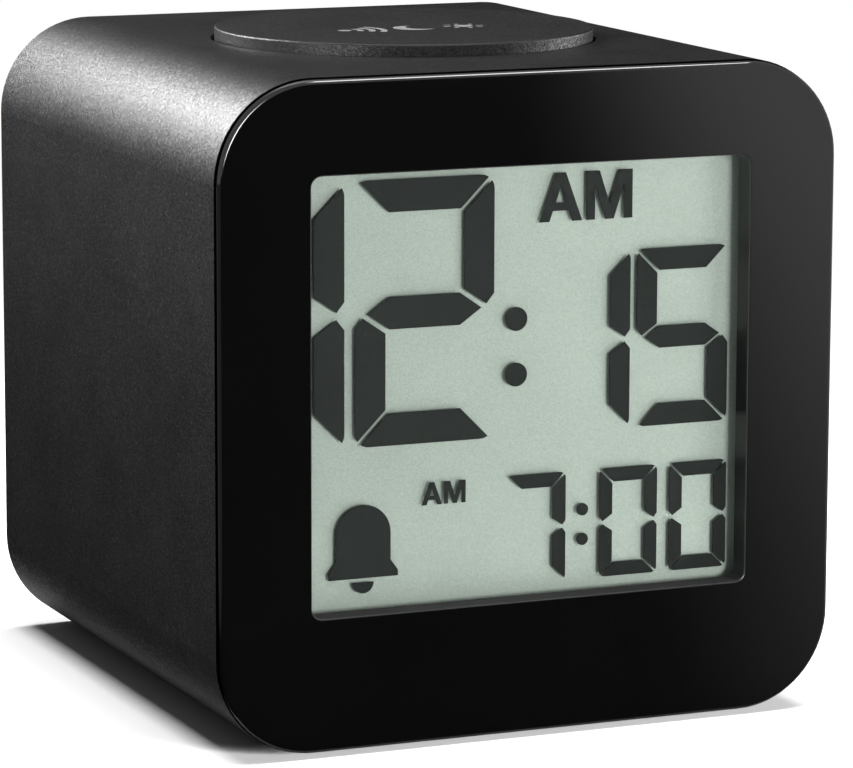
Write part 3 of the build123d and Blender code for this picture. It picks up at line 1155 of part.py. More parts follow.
# Key board behind the setting keys, on three posts of the rear cover
with BuildPart() as key_board:
    with BuildSketch(across(KEY_BOARD_FRONT)):
        with Locations((KEYS_X, (KEY_BOARD_LOW + KEY_BOARD_HIGH) / 2)):
            Rectangle(KEY_BOARD_WIDTH, KEY_BOARD_HIGH - KEY_BOARD_LOW)
        with Locations(*KEY_POSTS):
            Circle(SCREW_SHANK / 2 + FIT, mode=Mode.SUBTRACT)
    extrude(amount=-BOARD_THICK)
save(key_board, "key_board")

with BuildPart() as key_board_screws:
    for x, z in KEY_POSTS:
        screw((x, KEY_BOARD_FRONT, z), FORWARD, BOARD_THICK + SCREW_BITE)
save(key_board_screws, "key_board_screws")

with BuildPart() as key_switches:
    for x, z in KEY_PLACES.values():
        push_switch((x, KEY_BOARD_REAR, z), BACKWARD)
save(key_switches, "key_switches")

# Setting keys: a round cap through the cover, a flange behind it and a shank on the switch's stem
for name, (x, z) in KEY_PLACES.items():
    with BuildPart() as key:
        rod((x, KEY_FLANGE_REAR - FUSE, z), (x, COVER_OUT + KEY_PROUD, z), KEY_RADIUS)
        fillet(key.edges().filter_by(GeomType.CIRCLE).sort_by(Axis.Y)[-1], KEY_EDGE)
        flange_front = KEY_FLANGE_REAR - KEY_FLANGE_THICK
        rod((x, flange_front, z), (x, KEY_FLANGE_REAR, z), KEY_RADIUS + KEY_FLANGE_REACH)
        rod((x, KEY_TIP, z), (x, flange_front + FUSE, z), SWITCH_STEM_DIAMETER / 2)
    save(key, name)
    with BuildPart() as key_stem:
        switch_stem((x, KEY_BOARD_REAR, z), BACKWARD)
    save(key_stem, f"{name}_stem")

# Alarm switch: a housing on the key board and a knob that slides in the cover's slot, shown off
with BuildPart() as alarm_switch_housing:
    housing_half = SLIDER_HOUSING_WIDTH / 2
    housing_low = (KEYS_X - housing_half, KEY_BOARD_REAR, SLIDER_Z - SLIDER_HOUSING_HEIGHT / 2)
    housing_high = (KEYS_X + housing_half, SLIDER_HOUSING_TOP, SLIDER_Z + SLIDER_HOUSING_HEIGHT / 2)
    box_between(housing_low, housing_high)
    track_half = (SLIDER_TRAVEL + SLIDER_NECK_WIDTH) / 2 + SLIDER_GAP
    track_rise = SLIDER_NECK_HEIGHT / 2 + SLIDER_GAP
    track_low = (KEYS_X - track_half, KEY_BOARD_REAR + SLIDER_FLOOR, SLIDER_Z - track_rise)
    box_between(track_low, (KEYS_X + track_half, SLIDER_HOUSING_TOP, SLIDER_Z + track_rise), Mode.SUBTRACT)
save(alarm_switch_housing, "alarm_switch_housing")

with BuildPart() as alarm_switch_knob:
    grip_low = (grip_left, SLIDER_HOUSING_TOP + SLIDER_SPARE, SLIDER_Z - SLIDER_GRIP_HEIGHT / 2)
    grip_high = (grip_left + SLIDER_GRIP_WIDTH, COVER_OUT + KEY_PROUD, SLIDER_Z + SLIDER_GRIP_HEIGHT / 2)
    box_between(grip_low, grip_high)
    fillet(alarm_switch_knob.edges().group_by(Axis.Y)[-1], KEY_EDGE)
    neck_left = grip_left + (SLIDER_GRIP_WIDTH - SLIDER_NECK_WIDTH) / 2
    neck_bottom = KEY_BOARD_REAR + SLIDER_FLOOR + SLIDER_SPARE
    neck_low = (neck_left, neck_bottom, SLIDER_Z - SLIDER_NECK_HEIGHT / 2)
    neck_top = SLIDER_HOUSING_TOP + SLIDER_SPARE + FUSE
    box_between(neck_low, (neck_left + SLIDER_NECK_WIDTH, neck_top, SLIDER_Z + SLIDER_NECK_HEIGHT / 2))
save(alarm_switch_knob, "alarm_switch_knob")

# Loudspeaker, stuck to the cover behind the grille. Its pieces are turned round this axis
speaker_plane = Plane(origin=(SPEAKER_X, 0, SPEAKER_Z))
speaker_axis = Axis((SPEAKER_X, 0, SPEAKER_Z), (0, 1, 0))
with BuildPart() as speaker_mesh:
    with BuildSketch(across(COVER_IN - MESH_THICK)):
        with Locations((SPEAKER_X, SPEAKER_Z)):
            Circle(SPEAKER_RADIUS - GASKET_WIDTH - FIT)
    extrude(amount=-MESH_THICK)
save(speaker_mesh, "speaker_mesh")

with BuildPart() as speaker_gasket:
    with BuildSketch(across(BASKET_REAR)):
        with Locations((SPEAKER_X, SPEAKER_Z)):
            Circle(SPEAKER_RADIUS)
            Circle(SPEAKER_RADIUS - GASKET_WIDTH, mode=Mode.SUBTRACT)
    extrude(amount=-GASKET_THICK)
save(speaker_gasket, "speaker_gasket")

cone_rear = BASKET_REAR - BASKET_FLANGE_THICK
cup_inside = CUP_RADIUS - BASKET_WALL
with BuildPart() as speaker_basket:
    with BuildSketch(speaker_plane):
        with BuildLine():
            Polyline(
                (SPEAKER_RADIUS, BASKET_REAR),
                (SPEAKER_RADIUS, cone_rear),
                (CUP_RADIUS, cone_rear),
                (CUP_RADIUS, CUP_FLOOR),
                (MAGNET_RADIUS - BASKET_WALL, CUP_FLOOR),
                (MAGNET_RADIUS - BASKET_WALL, CUP_FLOOR + BASKET_WALL),
                (cup_inside, CUP_FLOOR + BASKET_WALL),
                (cup_inside, BASKET_REAR),
                close=True,
            )
        make_face()
    revolve(axis=speaker_axis)
save(speaker_basket, "speaker_basket")

with BuildPart() as speaker_magnet:
    magnet_front = (SPEAKER_X, CUP_FLOOR - MAGNET_THICK, SPEAKER_Z)
    rod(magnet_front, (SPEAKER_X, CUP_FLOOR, SPEAKER_Z), MAGNET_RADIUS)
save(speaker_magnet, "speaker_magnet")

# Paper cone with a domed cap, its rim stuck inside the basket
with BuildPart() as speaker_cone:
    cone_low = cone_rear - CONE_DEPTH
    cone_rim = cup_inside - FIT
    with BuildSketch(speaker_plane):
        with BuildLine():
            dome_edge = (CONE_DOME_RADIUS, cone_low)
            slope_height = dome_height(CONE_DOME_RADIUS / 2, CONE_DOME_RADIUS, CONE_DOME_RISE)
            dome_mid = (CONE_DOME_RADIUS / 2, cone_low + slope_height)
            dome_top = (0, cone_low + CONE_DOME_RISE)
            Line((cone_rim, cone_rear), dome_edge)
            ThreePointArc(dome_edge, dome_mid, dome_top)
            Line(dome_top, (0, dome_top[1] + CONE_THICK))
            raised_edge = (CONE_DOME_RADIUS, cone_low + CONE_THICK)
            raised_mid = (dome_mid[0], dome_mid[1] + CONE_THICK)
            ThreePointArc((0, dome_top[1] + CONE_THICK), raised_mid, raised_edge)
            Line(raised_edge, (cone_rim, cone_rear + CONE_THICK))
            Line((cone_rim, cone_rear + CONE_THICK), (cone_rim, cone_rear))
        make_face()
    revolve(axis=speaker_axis)
save(speaker_cone, "speaker_cone")

# Ribbon from the switch board under the button, over the edge of the bridge and down into its socket
with BuildPart() as snooze_ribbon:
    ribbon_z = SNOOZE_BOARD_TOP + RIBBON_THICK / 2
    ribbon_drop = (BOARD_BACK + SOCKET_BACK) / 2
    ribbon_start = RIBBON_LAP - SNOOZE_BOARD_DEPTH / 2
    with BuildSketch(Plane.YZ.offset(SNOOZE_SOCKET[0] - RIBBON_WIDTH / 2)):
        with BuildLine():
            FilletPolyline(
                (ribbon_start, ribbon_z),
                (ribbon_drop, ribbon_z),
                (ribbon_drop, SNOOZE_SOCKET[1] + SOCKET_HEIGHT / 2),
                radius=RIBBON_FOLD,
            )
        trace(line_width=RIBBON_THICK)
    extrude(amount=RIBBON_WIDTH)
save(snooze_ribbon, "snooze_ribbon")

# Ribbon from the key board to the main board, hanging in a shallow bow
with BuildPart() as key_ribbon:
    bow_height = KEYS_Z - KEY_PITCH / 2
    with BuildSketch(Plane.YZ.offset(KEY_SOCKET[0] - RIBBON_WIDTH / 2)):
        with BuildLine():
            FilletPolyline(
                (KEY_BOARD_FRONT, bow_height),
                (KEY_BOARD_FRONT * RIBBON_RUN_SHARE, bow_height),
                (0, KEY_SOCKET[1] - RIBBON_DIP),
                (SOCKET_BACK * RIBBON_RUN_SHARE, KEY_SOCKET[1]),
                (SOCKET_BACK, KEY_SOCKET[1]),
                radius=RIBBON_BOW,
            )
        trace(line_width=RIBBON_THICK)
    extrude(amount=RIBBON_WIDTH)
save(key_ribbon, "key_ribbon")

# Leads from the battery contacts and from the loudspeaker to the main board
lead_side = CONTACT_THICK - BAY_HALF + LEAD_DIAMETER / 2
tail_solder = TAIL_FRONT + CONTACT_TAIL_REACH - FUSE
with BuildPart() as battery_leads:
    for contact_z, way in ((LOWER_CELL_Z, -1), (UPPER_CELL_Z, 1)):
        socket_x = BATTERY_SOCKET[0] + way * LEAD_SPACE / 2
        with BuildLine() as lead_path:
            FilletPolyline(
                (lead_side, tail_solder, contact_z),
                (lead_side, TAIL_FRONT - BATTERY_LEAD_RUN, contact_z),
                (socket_x, SOCKET_BACK + LEAD_RUN, BATTERY_SOCKET[1]),
                (socket_x, SOCKET_BACK, BATTERY_SOCKET[1]),
                radius=BATTERY_LEAD_BEND,
            )
        with BuildSketch(Plane(origin=lead_path.line @ 0, z_dir=lead_path.line % 0)):
            Circle(LEAD_DIAMETER / 2)
        sweep()
save(battery_leads, "battery_leads")

with BuildPart() as speaker_leads:
    for way in (-1, 1):
        start_x = SPEAKER_X - (MAGNET_RADIUS + CUP_RADIUS) / 2
        start_z = SPEAKER_Z + way * LEAD_SPACE / 2
        socket_x = SPEAKER_SOCKET[0] + way * LEAD_SPACE / 2
        with BuildLine() as lead_path:
            FilletPolyline(
                (start_x, CUP_FLOOR, start_z),
                (start_x, CUP_FLOOR - LEAD_RUN, start_z),
                (socket_x, SOCKET_BACK + LEAD_RUN, SPEAKER_SOCKET[1]),
                (socket_x, SOCKET_BACK, SPEAKER_SOCKET[1]),
                radius=SPEAKER_LEAD_BEND,
            )
        with BuildSketch(Plane(origin=lead_path.line @ 0, z_dir=lead_path.line % 0)):
            Circle(LEAD_DIAMETER / 2)
        sweep()
save(speaker_leads, "speaker_leads")
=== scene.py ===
import math

import bpy
from bpy.props import FloatProperty, FloatVectorProperty, PointerProperty
from mathutils import Matrix, Vector


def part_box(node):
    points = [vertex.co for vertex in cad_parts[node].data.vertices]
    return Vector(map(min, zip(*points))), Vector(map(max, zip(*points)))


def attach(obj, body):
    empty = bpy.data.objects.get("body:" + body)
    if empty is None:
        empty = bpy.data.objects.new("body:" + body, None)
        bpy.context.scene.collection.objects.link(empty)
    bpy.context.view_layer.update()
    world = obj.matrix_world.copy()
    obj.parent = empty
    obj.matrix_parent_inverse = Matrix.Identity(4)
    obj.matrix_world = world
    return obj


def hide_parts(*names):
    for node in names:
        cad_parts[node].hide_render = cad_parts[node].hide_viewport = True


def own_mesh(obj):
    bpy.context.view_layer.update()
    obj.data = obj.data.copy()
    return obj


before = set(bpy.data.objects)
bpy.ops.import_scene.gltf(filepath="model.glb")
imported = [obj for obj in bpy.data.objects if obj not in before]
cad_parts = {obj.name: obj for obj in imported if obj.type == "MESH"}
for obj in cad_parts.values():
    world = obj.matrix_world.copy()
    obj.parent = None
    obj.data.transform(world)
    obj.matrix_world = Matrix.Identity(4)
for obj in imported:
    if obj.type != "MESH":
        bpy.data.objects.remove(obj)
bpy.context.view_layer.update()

bl_info = {
    "name": "Cube Talking Clock",
    "version": (1, 0, 0),
    "blender": (4, 5, 0),
    "location": "View3D > Sidebar > Clock",
    "description": "Finishes the packed clock, adds its marks, and sets a studio round it",
    "category": "Object",
}

MM = 0.001
MERGE_DISTANCE = 0.001 * MM
SMOOTH_ANGLE = math.radians(50)
GLUE_GAP = 0.01 * MM
CAP_SHARE = 0.69
LEGENDS = (("time_key", "TIME"), ("alarm_key", "ALARM"), ("hour_key", "HOUR"), ("minute_key", "MIN"))
LEGEND_DROP = 1.0 * MM
ON_OFFSET = 2.2 * MM
OFF_OFFSET = 2.4 * MM
WINDOW_LAP = Vector((0.7, 0.3)) * MM
WINDOW_EDGE = 0.15 * MM
WINDOW_SKIN = 0.01 * MM
SILL_BAND = 0.4 * MM
# Painted highlight: lighter colour on the window's rounded edge, for the thin light line along it.
EDGE_HIGHLIGHT_GREY = (0.03, 0.03, 0.03, 1.0)
CELL_BAND = 13 * MM
CELL_SHOULDER = 1.5 * MM
CELL_FOOT = 0.5 * MM
BLACK = (0.0, 0.0, 0.0, 1.0)
RIDGE_COUNT = 5
RIDGE_STEP = 1.3 * MM
RIDGE_LENGTH = 9.0 * MM
RIDGE_WIDTH = 0.7 * MM
RIDGE_DROP = 6.5 * MM
RIDGE_ROOT = 0.2 * MM
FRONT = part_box("front_bezel")[0].y
# Surfaces of the case in front of this depth get painted shade, black and dull, where the groove between
# the case and the front lies.
GROOVE_SHADE_DEPTH = FRONT + 0.84 * MM
COVER_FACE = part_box("rear_cover")[1].y
BUTTON_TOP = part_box("top_button")[1].z


def colour(label, detail, value):
    """A colour that a user may change."""
    return FloatVectorProperty(
        name=label, description=detail, default=(*value, 1.0), size=4, subtype="COLOR", min=0.0, max=1.0
    )


def length(label, detail, value):
    """A length that a user may change, given in millimetres."""
    return FloatProperty(
        name=label, description=detail, default=value * MM, unit="LENGTH", min=0.0, precision=5
    )


class ClockFinishes(bpy.types.PropertyGroup):
    """Colours and grain of the clock's finishes."""

    case_black: colour(
        "Case", "Satin moulding of the case, the rear cover and the battery door", (0.009, 0.009, 0.0092)
    )
    front_black: colour("Front", "Gloss moulding round the display", (0.0028, 0.0028, 0.0029))
    button_black: colour("Button", "Satin moulding of the top button", (0.016, 0.016, 0.0165))
    key_black: colour("Keys", "Keys and slider on the back", (0.03, 0.03, 0.031))
    display_grey: colour("Display", "Sheet behind the display's glass", (0.403, 0.473, 0.415))
    segment_black: colour("Segments", "Segments that are switched on", (0.0205, 0.025, 0.0225))
    print_grey: colour("Marks", "Printed and inlaid marks", (0.8, 0.8, 0.8))
    case_grain: length("Case grain", "Size of the grain in the satin mouldings", 0.12)


class ClockMarks(bpy.types.PropertyGroup):
    """Sizes of the marks on the button and the back."""

    icon_height: length("Icon height", "Height of an icon inlaid in the button", 4.0)
    icon_row: length("Icon spacing", "Distance between the icons in the button", 5.0)
    icon_shift: length("Icon shift", "How far the icons lie in front of the button's middle", 2.5)
    inlay_depth: length("Inlay depth", "Depth of the icons below the button's face", 0.03)
    legend_height: length("Legend height", "Letter height of the legends on the back", 1.5)
    print_thickness: length("Print thickness", "How far a legend stands off the back", 0.02)
    ridge_height: length("Ridge height", "How far the grip ridges stand off the battery door", 0.4)


class ClockStage(bpy.types.PropertyGroup):
    """Where the camera stands, and how the studio is lit."""

    azimuth: FloatProperty(
        name="Azimuth", description="Camera's turn to the right of the front", subtype="ANGLE",
        default=math.radians(-23.155),
    )
    elevation: FloatProperty(
        name="Elevation", description="Camera's height above level", subtype="ANGLE",
        default=math.radians(10.041),
    )
    roll: FloatProperty(
        name="Roll", description="Camera's tilt", subtype="ANGLE", default=math.radians(0.161)
    )
    distance: length("Distance", "From the camera to the point it looks at", 441.87)
    aim: FloatVectorProperty(
        name="Aim", description="Point that the camera looks at", subtype="XYZ", unit="LENGTH",
        default=(2.427 * MM, 0.0, 27.202 * MM),
    )
    lens: FloatProperty(
        name="Lens", description="Focal length on a 36 mm wide sensor, in mm", default=195.9
    )
    floor_white: colour("Floor", "Plain pale floor", (0.95, 0.95, 0.95))
    fill: FloatProperty(
        name="Fill", description="Level of the light from all round", default=0.22, min=0.0
    )


def finishes():
    return bpy.context.scene.clock_finishes


def marks():
    return bpy.context.scene.clock_marks


def deselect_all():
    """Leave nothing selected, so that an operator acts on its own piece alone."""
    if bpy.context.object and bpy.context.object.mode != "OBJECT":
        bpy.ops.object.mode_set(mode="OBJECT")
    bpy.ops.object.select_all(action="DESELECT")


def select_only(piece):
    """Make one piece the selected and active one."""
    deselect_all()
    piece.select_set(True)
    bpy.context.view_layer.objects.active = piece


def apply_place(piece):
    """Put a piece's place into its mesh."""
    select_only(piece)
    bpy.ops.object.transform_apply(location=True, rotation=True, scale=True)


def apply_modifiers(piece):
    """Apply a piece's modifiers in order."""
    select_only(piece)
    for modifier in list(piece.modifiers):
        bpy.ops.object.modifier_apply(modifier=modifier.name)


def join_as(name, parts):
    """Join finished parts into one named piece."""
    deselect_all()
    for part in parts:
        part.select_set(True)
    bpy.context.view_layer.objects.active = parts[0]
    if len(parts) > 1:
        bpy.ops.object.join()
    piece = bpy.context.object
    piece.name = name
    piece.data.name = name
    return piece


def dress(piece, material):
    """Give a piece one material."""
    piece.data.materials.clear()
    piece.data.materials.append(material)


def dress_nodes(material, *names):
    """Give CAD nodes one material in place of the one they came with."""
    for name in names:
        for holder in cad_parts[name].material_slots:
            holder.material = material


# Materials


def start_material(name):
    """A new material, its node tree, its shader and the place on the piece."""
    material = bpy.data.materials.new(name)
    material.use_nodes = True
    tree = material.node_tree
    place = tree.nodes.new("ShaderNodeTexCoord")
    return material, tree, tree.nodes["Principled BSDF"], place.outputs["Object"]


def mapped(tree, place, scale=(1.0, 1.0, 1.0), turn=(0.0, 0.0, 0.0)):
    """The place, stretched or turned for a pattern."""
    node = tree.nodes.new("ShaderNodeMapping")
    node.inputs["Scale"].default_value = scale
    node.inputs["Rotation"].default_value = turn
    tree.links.new(place, node.inputs["Vector"])
    return node.outputs["Vector"]


def noise(tree, place, size, detail=2.0):
    """Cloudy pattern with features of a given size."""
    node = tree.nodes.new("ShaderNodeTexNoise")
    node.inputs["Scale"].default_value = 1 / size
    node.inputs["Detail"].default_value = detail
    tree.links.new(place, node.inputs["Vector"])
    return node.outputs["Fac"]


def between(tree, factor, low, high, start=0.0, stop=1.0):
    """A factor spread from low to high."""
    node = tree.nodes.new("ShaderNodeMapRange")
    node.inputs["From Min"].default_value = start
    node.inputs["From Max"].default_value = stop
    node.inputs["To Min"].default_value = low
    node.inputs["To Max"].default_value = high
    tree.links.new(factor, node.inputs["Value"])
    return node.outputs["Result"]


def worked(tree, operation, first, second):
    """Two values put together; the second may be a plain number."""
    node = tree.nodes.new("ShaderNodeMath")
    node.operation = operation
    tree.links.new(first, node.inputs[0])
    if isinstance(second, (int, float)):
        node.inputs[1].default_value = second
    else:
        tree.links.new(second, node.inputs[1])
    return node.outputs["Value"]


def axis_of(tree, place, axis):
    """One coordinate of the place."""
    node = tree.nodes.new("ShaderNodeSeparateXYZ")
    tree.links.new(place, node.inputs["Vector"])
    return node.outputs[axis]


def mixed(tree, factor, first, second):
    """Two colours mixed; each is a plain colour or another node's output."""
    node = tree.nodes.new("ShaderNodeMix")
    node.data_type = "RGBA"
    tree.links.new(factor, node.inputs["Factor"])
    for letter, value in (("A", first), ("B", second)):
        end = next(socket for socket in node.inputs if socket.name == letter and socket.type == "RGBA")
        if isinstance(value, bpy.types.NodeSocket):
            tree.links.new(value, end)
        else:
            end.default_value = value
    return next(socket for socket in node.outputs if socket.type == "RGBA")


def shade(value, share):
    """A colour made darker or lighter."""
    return (*(min(part * share, 1.0) for part in value[:3]), 1.0)


def bumped(tree, shader, height, depth):
    """Relief of a given depth."""
    node = tree.nodes.new("ShaderNodeBump")
    node.inputs["Strength"].default_value = 1.0
    node.inputs["Distance"].default_value = depth
    tree.links.new(height, node.inputs["Height"])
    tree.links.new(node.outputs["Normal"], shader.inputs["Normal"])


def moulded(name, base, rough, grain, tilt, level=0.5, spread=0.12, sparkle=0.06, painted_shade_to=None):
    """Moulded plastic: spark-eroded grain whose facets tilt at random, and slow clouds in colour and gloss.

    Any surface in front of the given depth gets painted shade: it is made black and dull, standing for the
    shade inside the groove between the case and the front."""
    material, tree, shader, place = start_material(name)
    cells = tree.nodes.new("ShaderNodeTexVoronoi")
    cells.inputs["Scale"].default_value = 1 / grain
    tree.links.new(place, cells.inputs["Vector"])
    fine = axis_of(tree, cells.outputs["Color"], "X")
    cloud = noise(tree, place, 7 * MM, 3.0)
    tone = worked(tree, "ADD", worked(tree, "MULTIPLY", fine, 0.6), worked(tree, "MULTIPLY", cloud, 0.4))
    dark = shade(base, 1 - 2 * spread)
    light = shade(base, 1 + 2 * spread)
    hue = mixed(tree, between(tree, tone, 0.0, 1.0, 0.2, 0.8), dark, light)
    gloss = between(tree, tone, rough * (1 - sparkle), rough * (1 + sparkle), 0.2, 0.8)
    if painted_shade_to is not None:
        # Painted shade: black and dull in front of the given depth, where the groove's shade falls.
        groove_shade_mask = worked(tree, "LESS_THAN", axis_of(tree, place, "Y"), painted_shade_to)
        hue = mixed(tree, groove_shade_mask, hue, shade(base, 0.1))
        gloss = worked(tree, "MAXIMUM", gloss, worked(tree, "MULTIPLY", groove_shade_mask, 0.95))
        tree.links.new(groove_shade_mask, shader.inputs["Metallic"])
    tree.links.new(hue, shader.inputs["Base Color"])
    tree.links.new(gloss, shader.inputs["Roughness"])
    shader.inputs["Specular IOR Level"].default_value = level
    tree.links.new(tilted(tree, cells.outputs["Color"], tilt), shader.inputs["Normal"])
    return material


def tilted(tree, chance, amount):
    """The surface's own direction, tilted at random."""
    surface = tree.nodes.new("ShaderNodeNewGeometry")
    offset = tree.nodes.new("ShaderNodeVectorMath")
    offset.operation = "MULTIPLY_ADD"
    offset.inputs[1].default_value = (2 * amount, 2 * amount, 2 * amount)
    offset.inputs[2].default_value = (-amount, -amount, -amount)
    tree.links.new(chance, offset.inputs[0])
    total = tree.nodes.new("ShaderNodeVectorMath")
    total.operation = "ADD"
    tree.links.new(surface.outputs["Normal"], total.inputs[0])
    tree.links.new(offset.outputs["Vector"], total.inputs[1])
    unit = tree.nodes.new("ShaderNodeVectorMath")
    unit.operation = "NORMALIZE"
    tree.links.new(total.outputs["Vector"], unit.inputs[0])
    return unit.outputs["Vector"]


def polished(name, base, rough, jamb_rough, sill_rough):
    """Polished plastic with faint clouds in its gloss; the walls inside the window are left satin, and the
    window's rounded front edge is painted lighter, a painted highlight.
    """
    material, tree, shader, place = start_material(name)
    cloud = noise(tree, place, 9 * MM, 2.0)
    low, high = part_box("lcd_reflector")
    half_width = high.x - WINDOW_LAP.x
    half_height = (high.z - low.z) / 2 - WINDOW_LAP.y
    across = worked(tree, "ABSOLUTE", axis_of(tree, place, "X"), 0.0)
    over = worked(tree, "SUBTRACT", axis_of(tree, place, "Z"), (low.z + high.z) / 2)
    rise = worked(tree, "ABSOLUTE", over, 0.0)
    depth = axis_of(tree, place, "Y")
    inside = worked(tree, "MULTIPLY", worked(tree, "LESS_THAN", across, half_width),
                    worked(tree, "LESS_THAN", rise, half_height))
    edge = worked(tree, "MULTIPLY", inside, worked(tree, "GREATER_THAN", depth, FRONT + WINDOW_SKIN))
    wall = worked(tree, "MULTIPLY", inside, worked(tree, "GREATER_THAN", depth, FRONT + WINDOW_EDGE))
    level_wall = worked(tree, "GREATER_THAN", rise, half_height - SILL_BAND)
    wall_rough = between(tree, level_wall, jamb_rough, sill_rough)
    gloss = between(tree, cloud, rough * 0.9, rough * 1.1, 0.3, 0.7)
    tree.links.new(worked(tree, "MAXIMUM", gloss, worked(tree, "MULTIPLY", edge, wall_rough)),
                   shader.inputs["Roughness"])
    cloudy_base = mixed(tree, cloud, shade(base, 0.9), shade(base, 1.1))
    # Painted highlight: the rounded edge of the window, between its face and its walls, is given a lighter
    # colour.
    edge_highlight_band = worked(tree, "SUBTRACT", edge, wall)
    tree.links.new(mixed(tree, edge_highlight_band, cloudy_base, EDGE_HIGHLIGHT_GREY), shader.inputs["Base Color"])
    return material


def paint_light_along(material, axis, start, stop, first, last):
    """Paint light and shade into a material's colour: scale it from a first share at start to a last share
    at stop, along one axis.
    """
    tree = material.node_tree
    paint = tree.nodes["Principled BSDF"].inputs["Base Color"]
    hue = paint.links[0].from_socket
    place = tree.nodes.new("ShaderNodeTexCoord")
    share = between(tree, axis_of(tree, place.outputs["Object"], axis), first, last, start, stop)
    toned = tree.nodes.new("ShaderNodeVectorMath")
    toned.operation = "SCALE"
    tree.links.new(hue, toned.inputs[0])
    tree.links.new(share, toned.inputs["Scale"])
    tree.links.new(toned.outputs["Vector"], paint)


def plated(name, base, rough, stretch=(1.0, 1.0, 1.0)):
    """Plated or drawn metal with fine drawing lines."""
    material, tree, shader, place = start_material(name)
    lines = noise(tree, mapped(tree, place, stretch), 0.4 * MM, 3.0)
    cloud = noise(tree, place, 3 * MM, 2.0)
    hue = mixed(tree, between(tree, cloud, 0.0, 1.0, 0.3, 0.7), shade(base, 0.86), shade(base, 1.06))
    tree.links.new(hue, shader.inputs["Base Color"])
    tree.links.new(between(tree, lines, rough * 0.75, rough * 1.3, 0.3, 0.7), shader.inputs["Roughness"])
    shader.inputs["Metallic"].default_value = 1.0
    bumped(tree, shader, lines, 0.004 * MM)
    return material


def clear_sheet(name, edge_tint, index, rough):
    """A clear sheet: light goes straight through, and the face towards the light gleams."""
    material, tree, shader, place = start_material(name)
    smear = noise(tree, place, 5 * MM, 2.0)
    shader.inputs["Base Color"].default_value = edge_tint
    tree.links.new(between(tree, smear, rough * 0.6, rough * 1.6, 0.3, 0.7), shader.inputs["Roughness"])
    through = tree.nodes.new("ShaderNodeBsdfTransparent")
    gleam = tree.nodes.new("ShaderNodeFresnel")
    gleam.inputs["IOR"].default_value = index
    side = tree.nodes.new("ShaderNodeNewGeometry")
    outside = worked(tree, "LESS_THAN", side.outputs["Backfacing"], 0.5)
    blend = tree.nodes.new("ShaderNodeMixShader")
    tree.links.new(worked(tree, "MULTIPLY", gleam.outputs["Fac"], outside), blend.inputs["Fac"])
    tree.links.new(through.outputs["BSDF"], blend.inputs[1])
    tree.links.new(shader.outputs["BSDF"], blend.inputs[2])
    tree.links.new(blend.outputs["Shader"], tree.nodes["Material Output"].inputs["Surface"])
    return material


def woven(name, base, pitch):
    """Open woven cloth: two sets of threads that cross."""
    material, tree, shader, place = start_material(name)
    threads = []
    for axis in ("X", "Z"):
        across = worked(tree, "MULTIPLY", axis_of(tree, place, axis), 2 * math.pi / pitch)
        threads.append(worked(tree, "SINE", across, 0.0))
    weave = worked(tree, "MULTIPLY", threads[0], threads[1])
    relief = between(tree, weave, 0.0, 1.0, -1.0, 1.0)
    tree.links.new(mixed(tree, relief, shade(base, 0.5), shade(base, 1.7)), shader.inputs["Base Color"])
    tree.links.new(between(tree, relief, 0.9, 0.65), shader.inputs["Roughness"])
    bumped(tree, shader, relief, 0.05 * MM)
    return material


def circuit_board(name, mask):
    """Solder mask over copper tracks, with the weave of the board showing faintly."""
    material, tree, shader, place = start_material(name)
    turned = mapped(tree, place, (1.0, 1.0, 1.0), (math.radians(90), 0.0, 0.0))
    tracks = tree.nodes.new("ShaderNodeTexBrick")
    tracks.inputs["Scale"].default_value = 1 / (6 * MM)
    tracks.inputs["Mortar Size"].default_value = 0.035
    tracks.inputs["Color1"].default_value = shade(mask, 0.9)
    tracks.inputs["Color2"].default_value = shade(mask, 1.1)
    tracks.inputs["Mortar"].default_value = shade(mask, 1.9)
    tree.links.new(turned, tracks.inputs["Vector"])
    cloud = noise(tree, place, 2 * MM, 2.0)
    hue = mixed(tree, between(tree, cloud, 0.0, 0.25), tracks.outputs["Color"], shade(mask, 0.6))
    tree.links.new(hue, shader.inputs["Base Color"])
    tree.links.new(between(tree, cloud, 0.25, 0.4), shader.inputs["Roughness"])
    bumped(tree, shader, tracks.outputs["Fac"], 0.02 * MM)
    return material


def sleeved_cell(name, body, band, cap, flip):
    """Cell in a shrunk sleeve: a coloured band at the plus end, and bare metal at both ends."""
    material, tree, shader, place = start_material(name)
    along = axis_of(tree, place, "X")
    if flip:
        along = worked(tree, "MULTIPLY", along, -1.0)
    low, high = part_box("upper_battery")
    in_band = worked(tree, "GREATER_THAN", along, high.x - CELL_BAND)
    plus_end = worked(tree, "GREATER_THAN", along, high.x - CELL_SHOULDER)
    bare = worked(tree, "ADD", plus_end, worked(tree, "LESS_THAN", along, low.x + CELL_FOOT))
    grain = noise(tree, place, 1.2 * MM, 3.0)
    sleeve = mixed(tree, in_band, body, band)
    shown = mixed(tree, bare, sleeve, cap)
    tree.links.new(mixed(tree, between(tree, grain, 0.0, 0.2), shown, BLACK), shader.inputs["Base Color"])
    tree.links.new(between(tree, grain, 0.22, 0.38), shader.inputs["Roughness"])
    metal = worked(tree, "MAXIMUM", bare, worked(tree, "MULTIPLY", in_band, 0.6))
    tree.links.new(metal, shader.inputs["Metallic"])
    bumped(tree, shader, grain, 0.006 * MM)
    return material


def ribbon_film(name, base, pitch):
    """Flat cable: tinned strips between clear film edges."""
    material, tree, shader, place = start_material(name)
    across = worked(tree, "MULTIPLY", axis_of(tree, place, "X"), 2 * math.pi / pitch)
    wave = worked(tree, "SINE", across, 0.0)
    strip = between(tree, wave, 0.0, 1.0, -0.2, 0.2)
    tree.links.new(mixed(tree, strip, shade(base, 0.55), shade(base, 1.15)), shader.inputs["Base Color"])
    tree.links.new(between(tree, strip, 0.45, 0.25), shader.inputs["Roughness"])
    bumped(tree, shader, strip, 0.02 * MM)
    return material


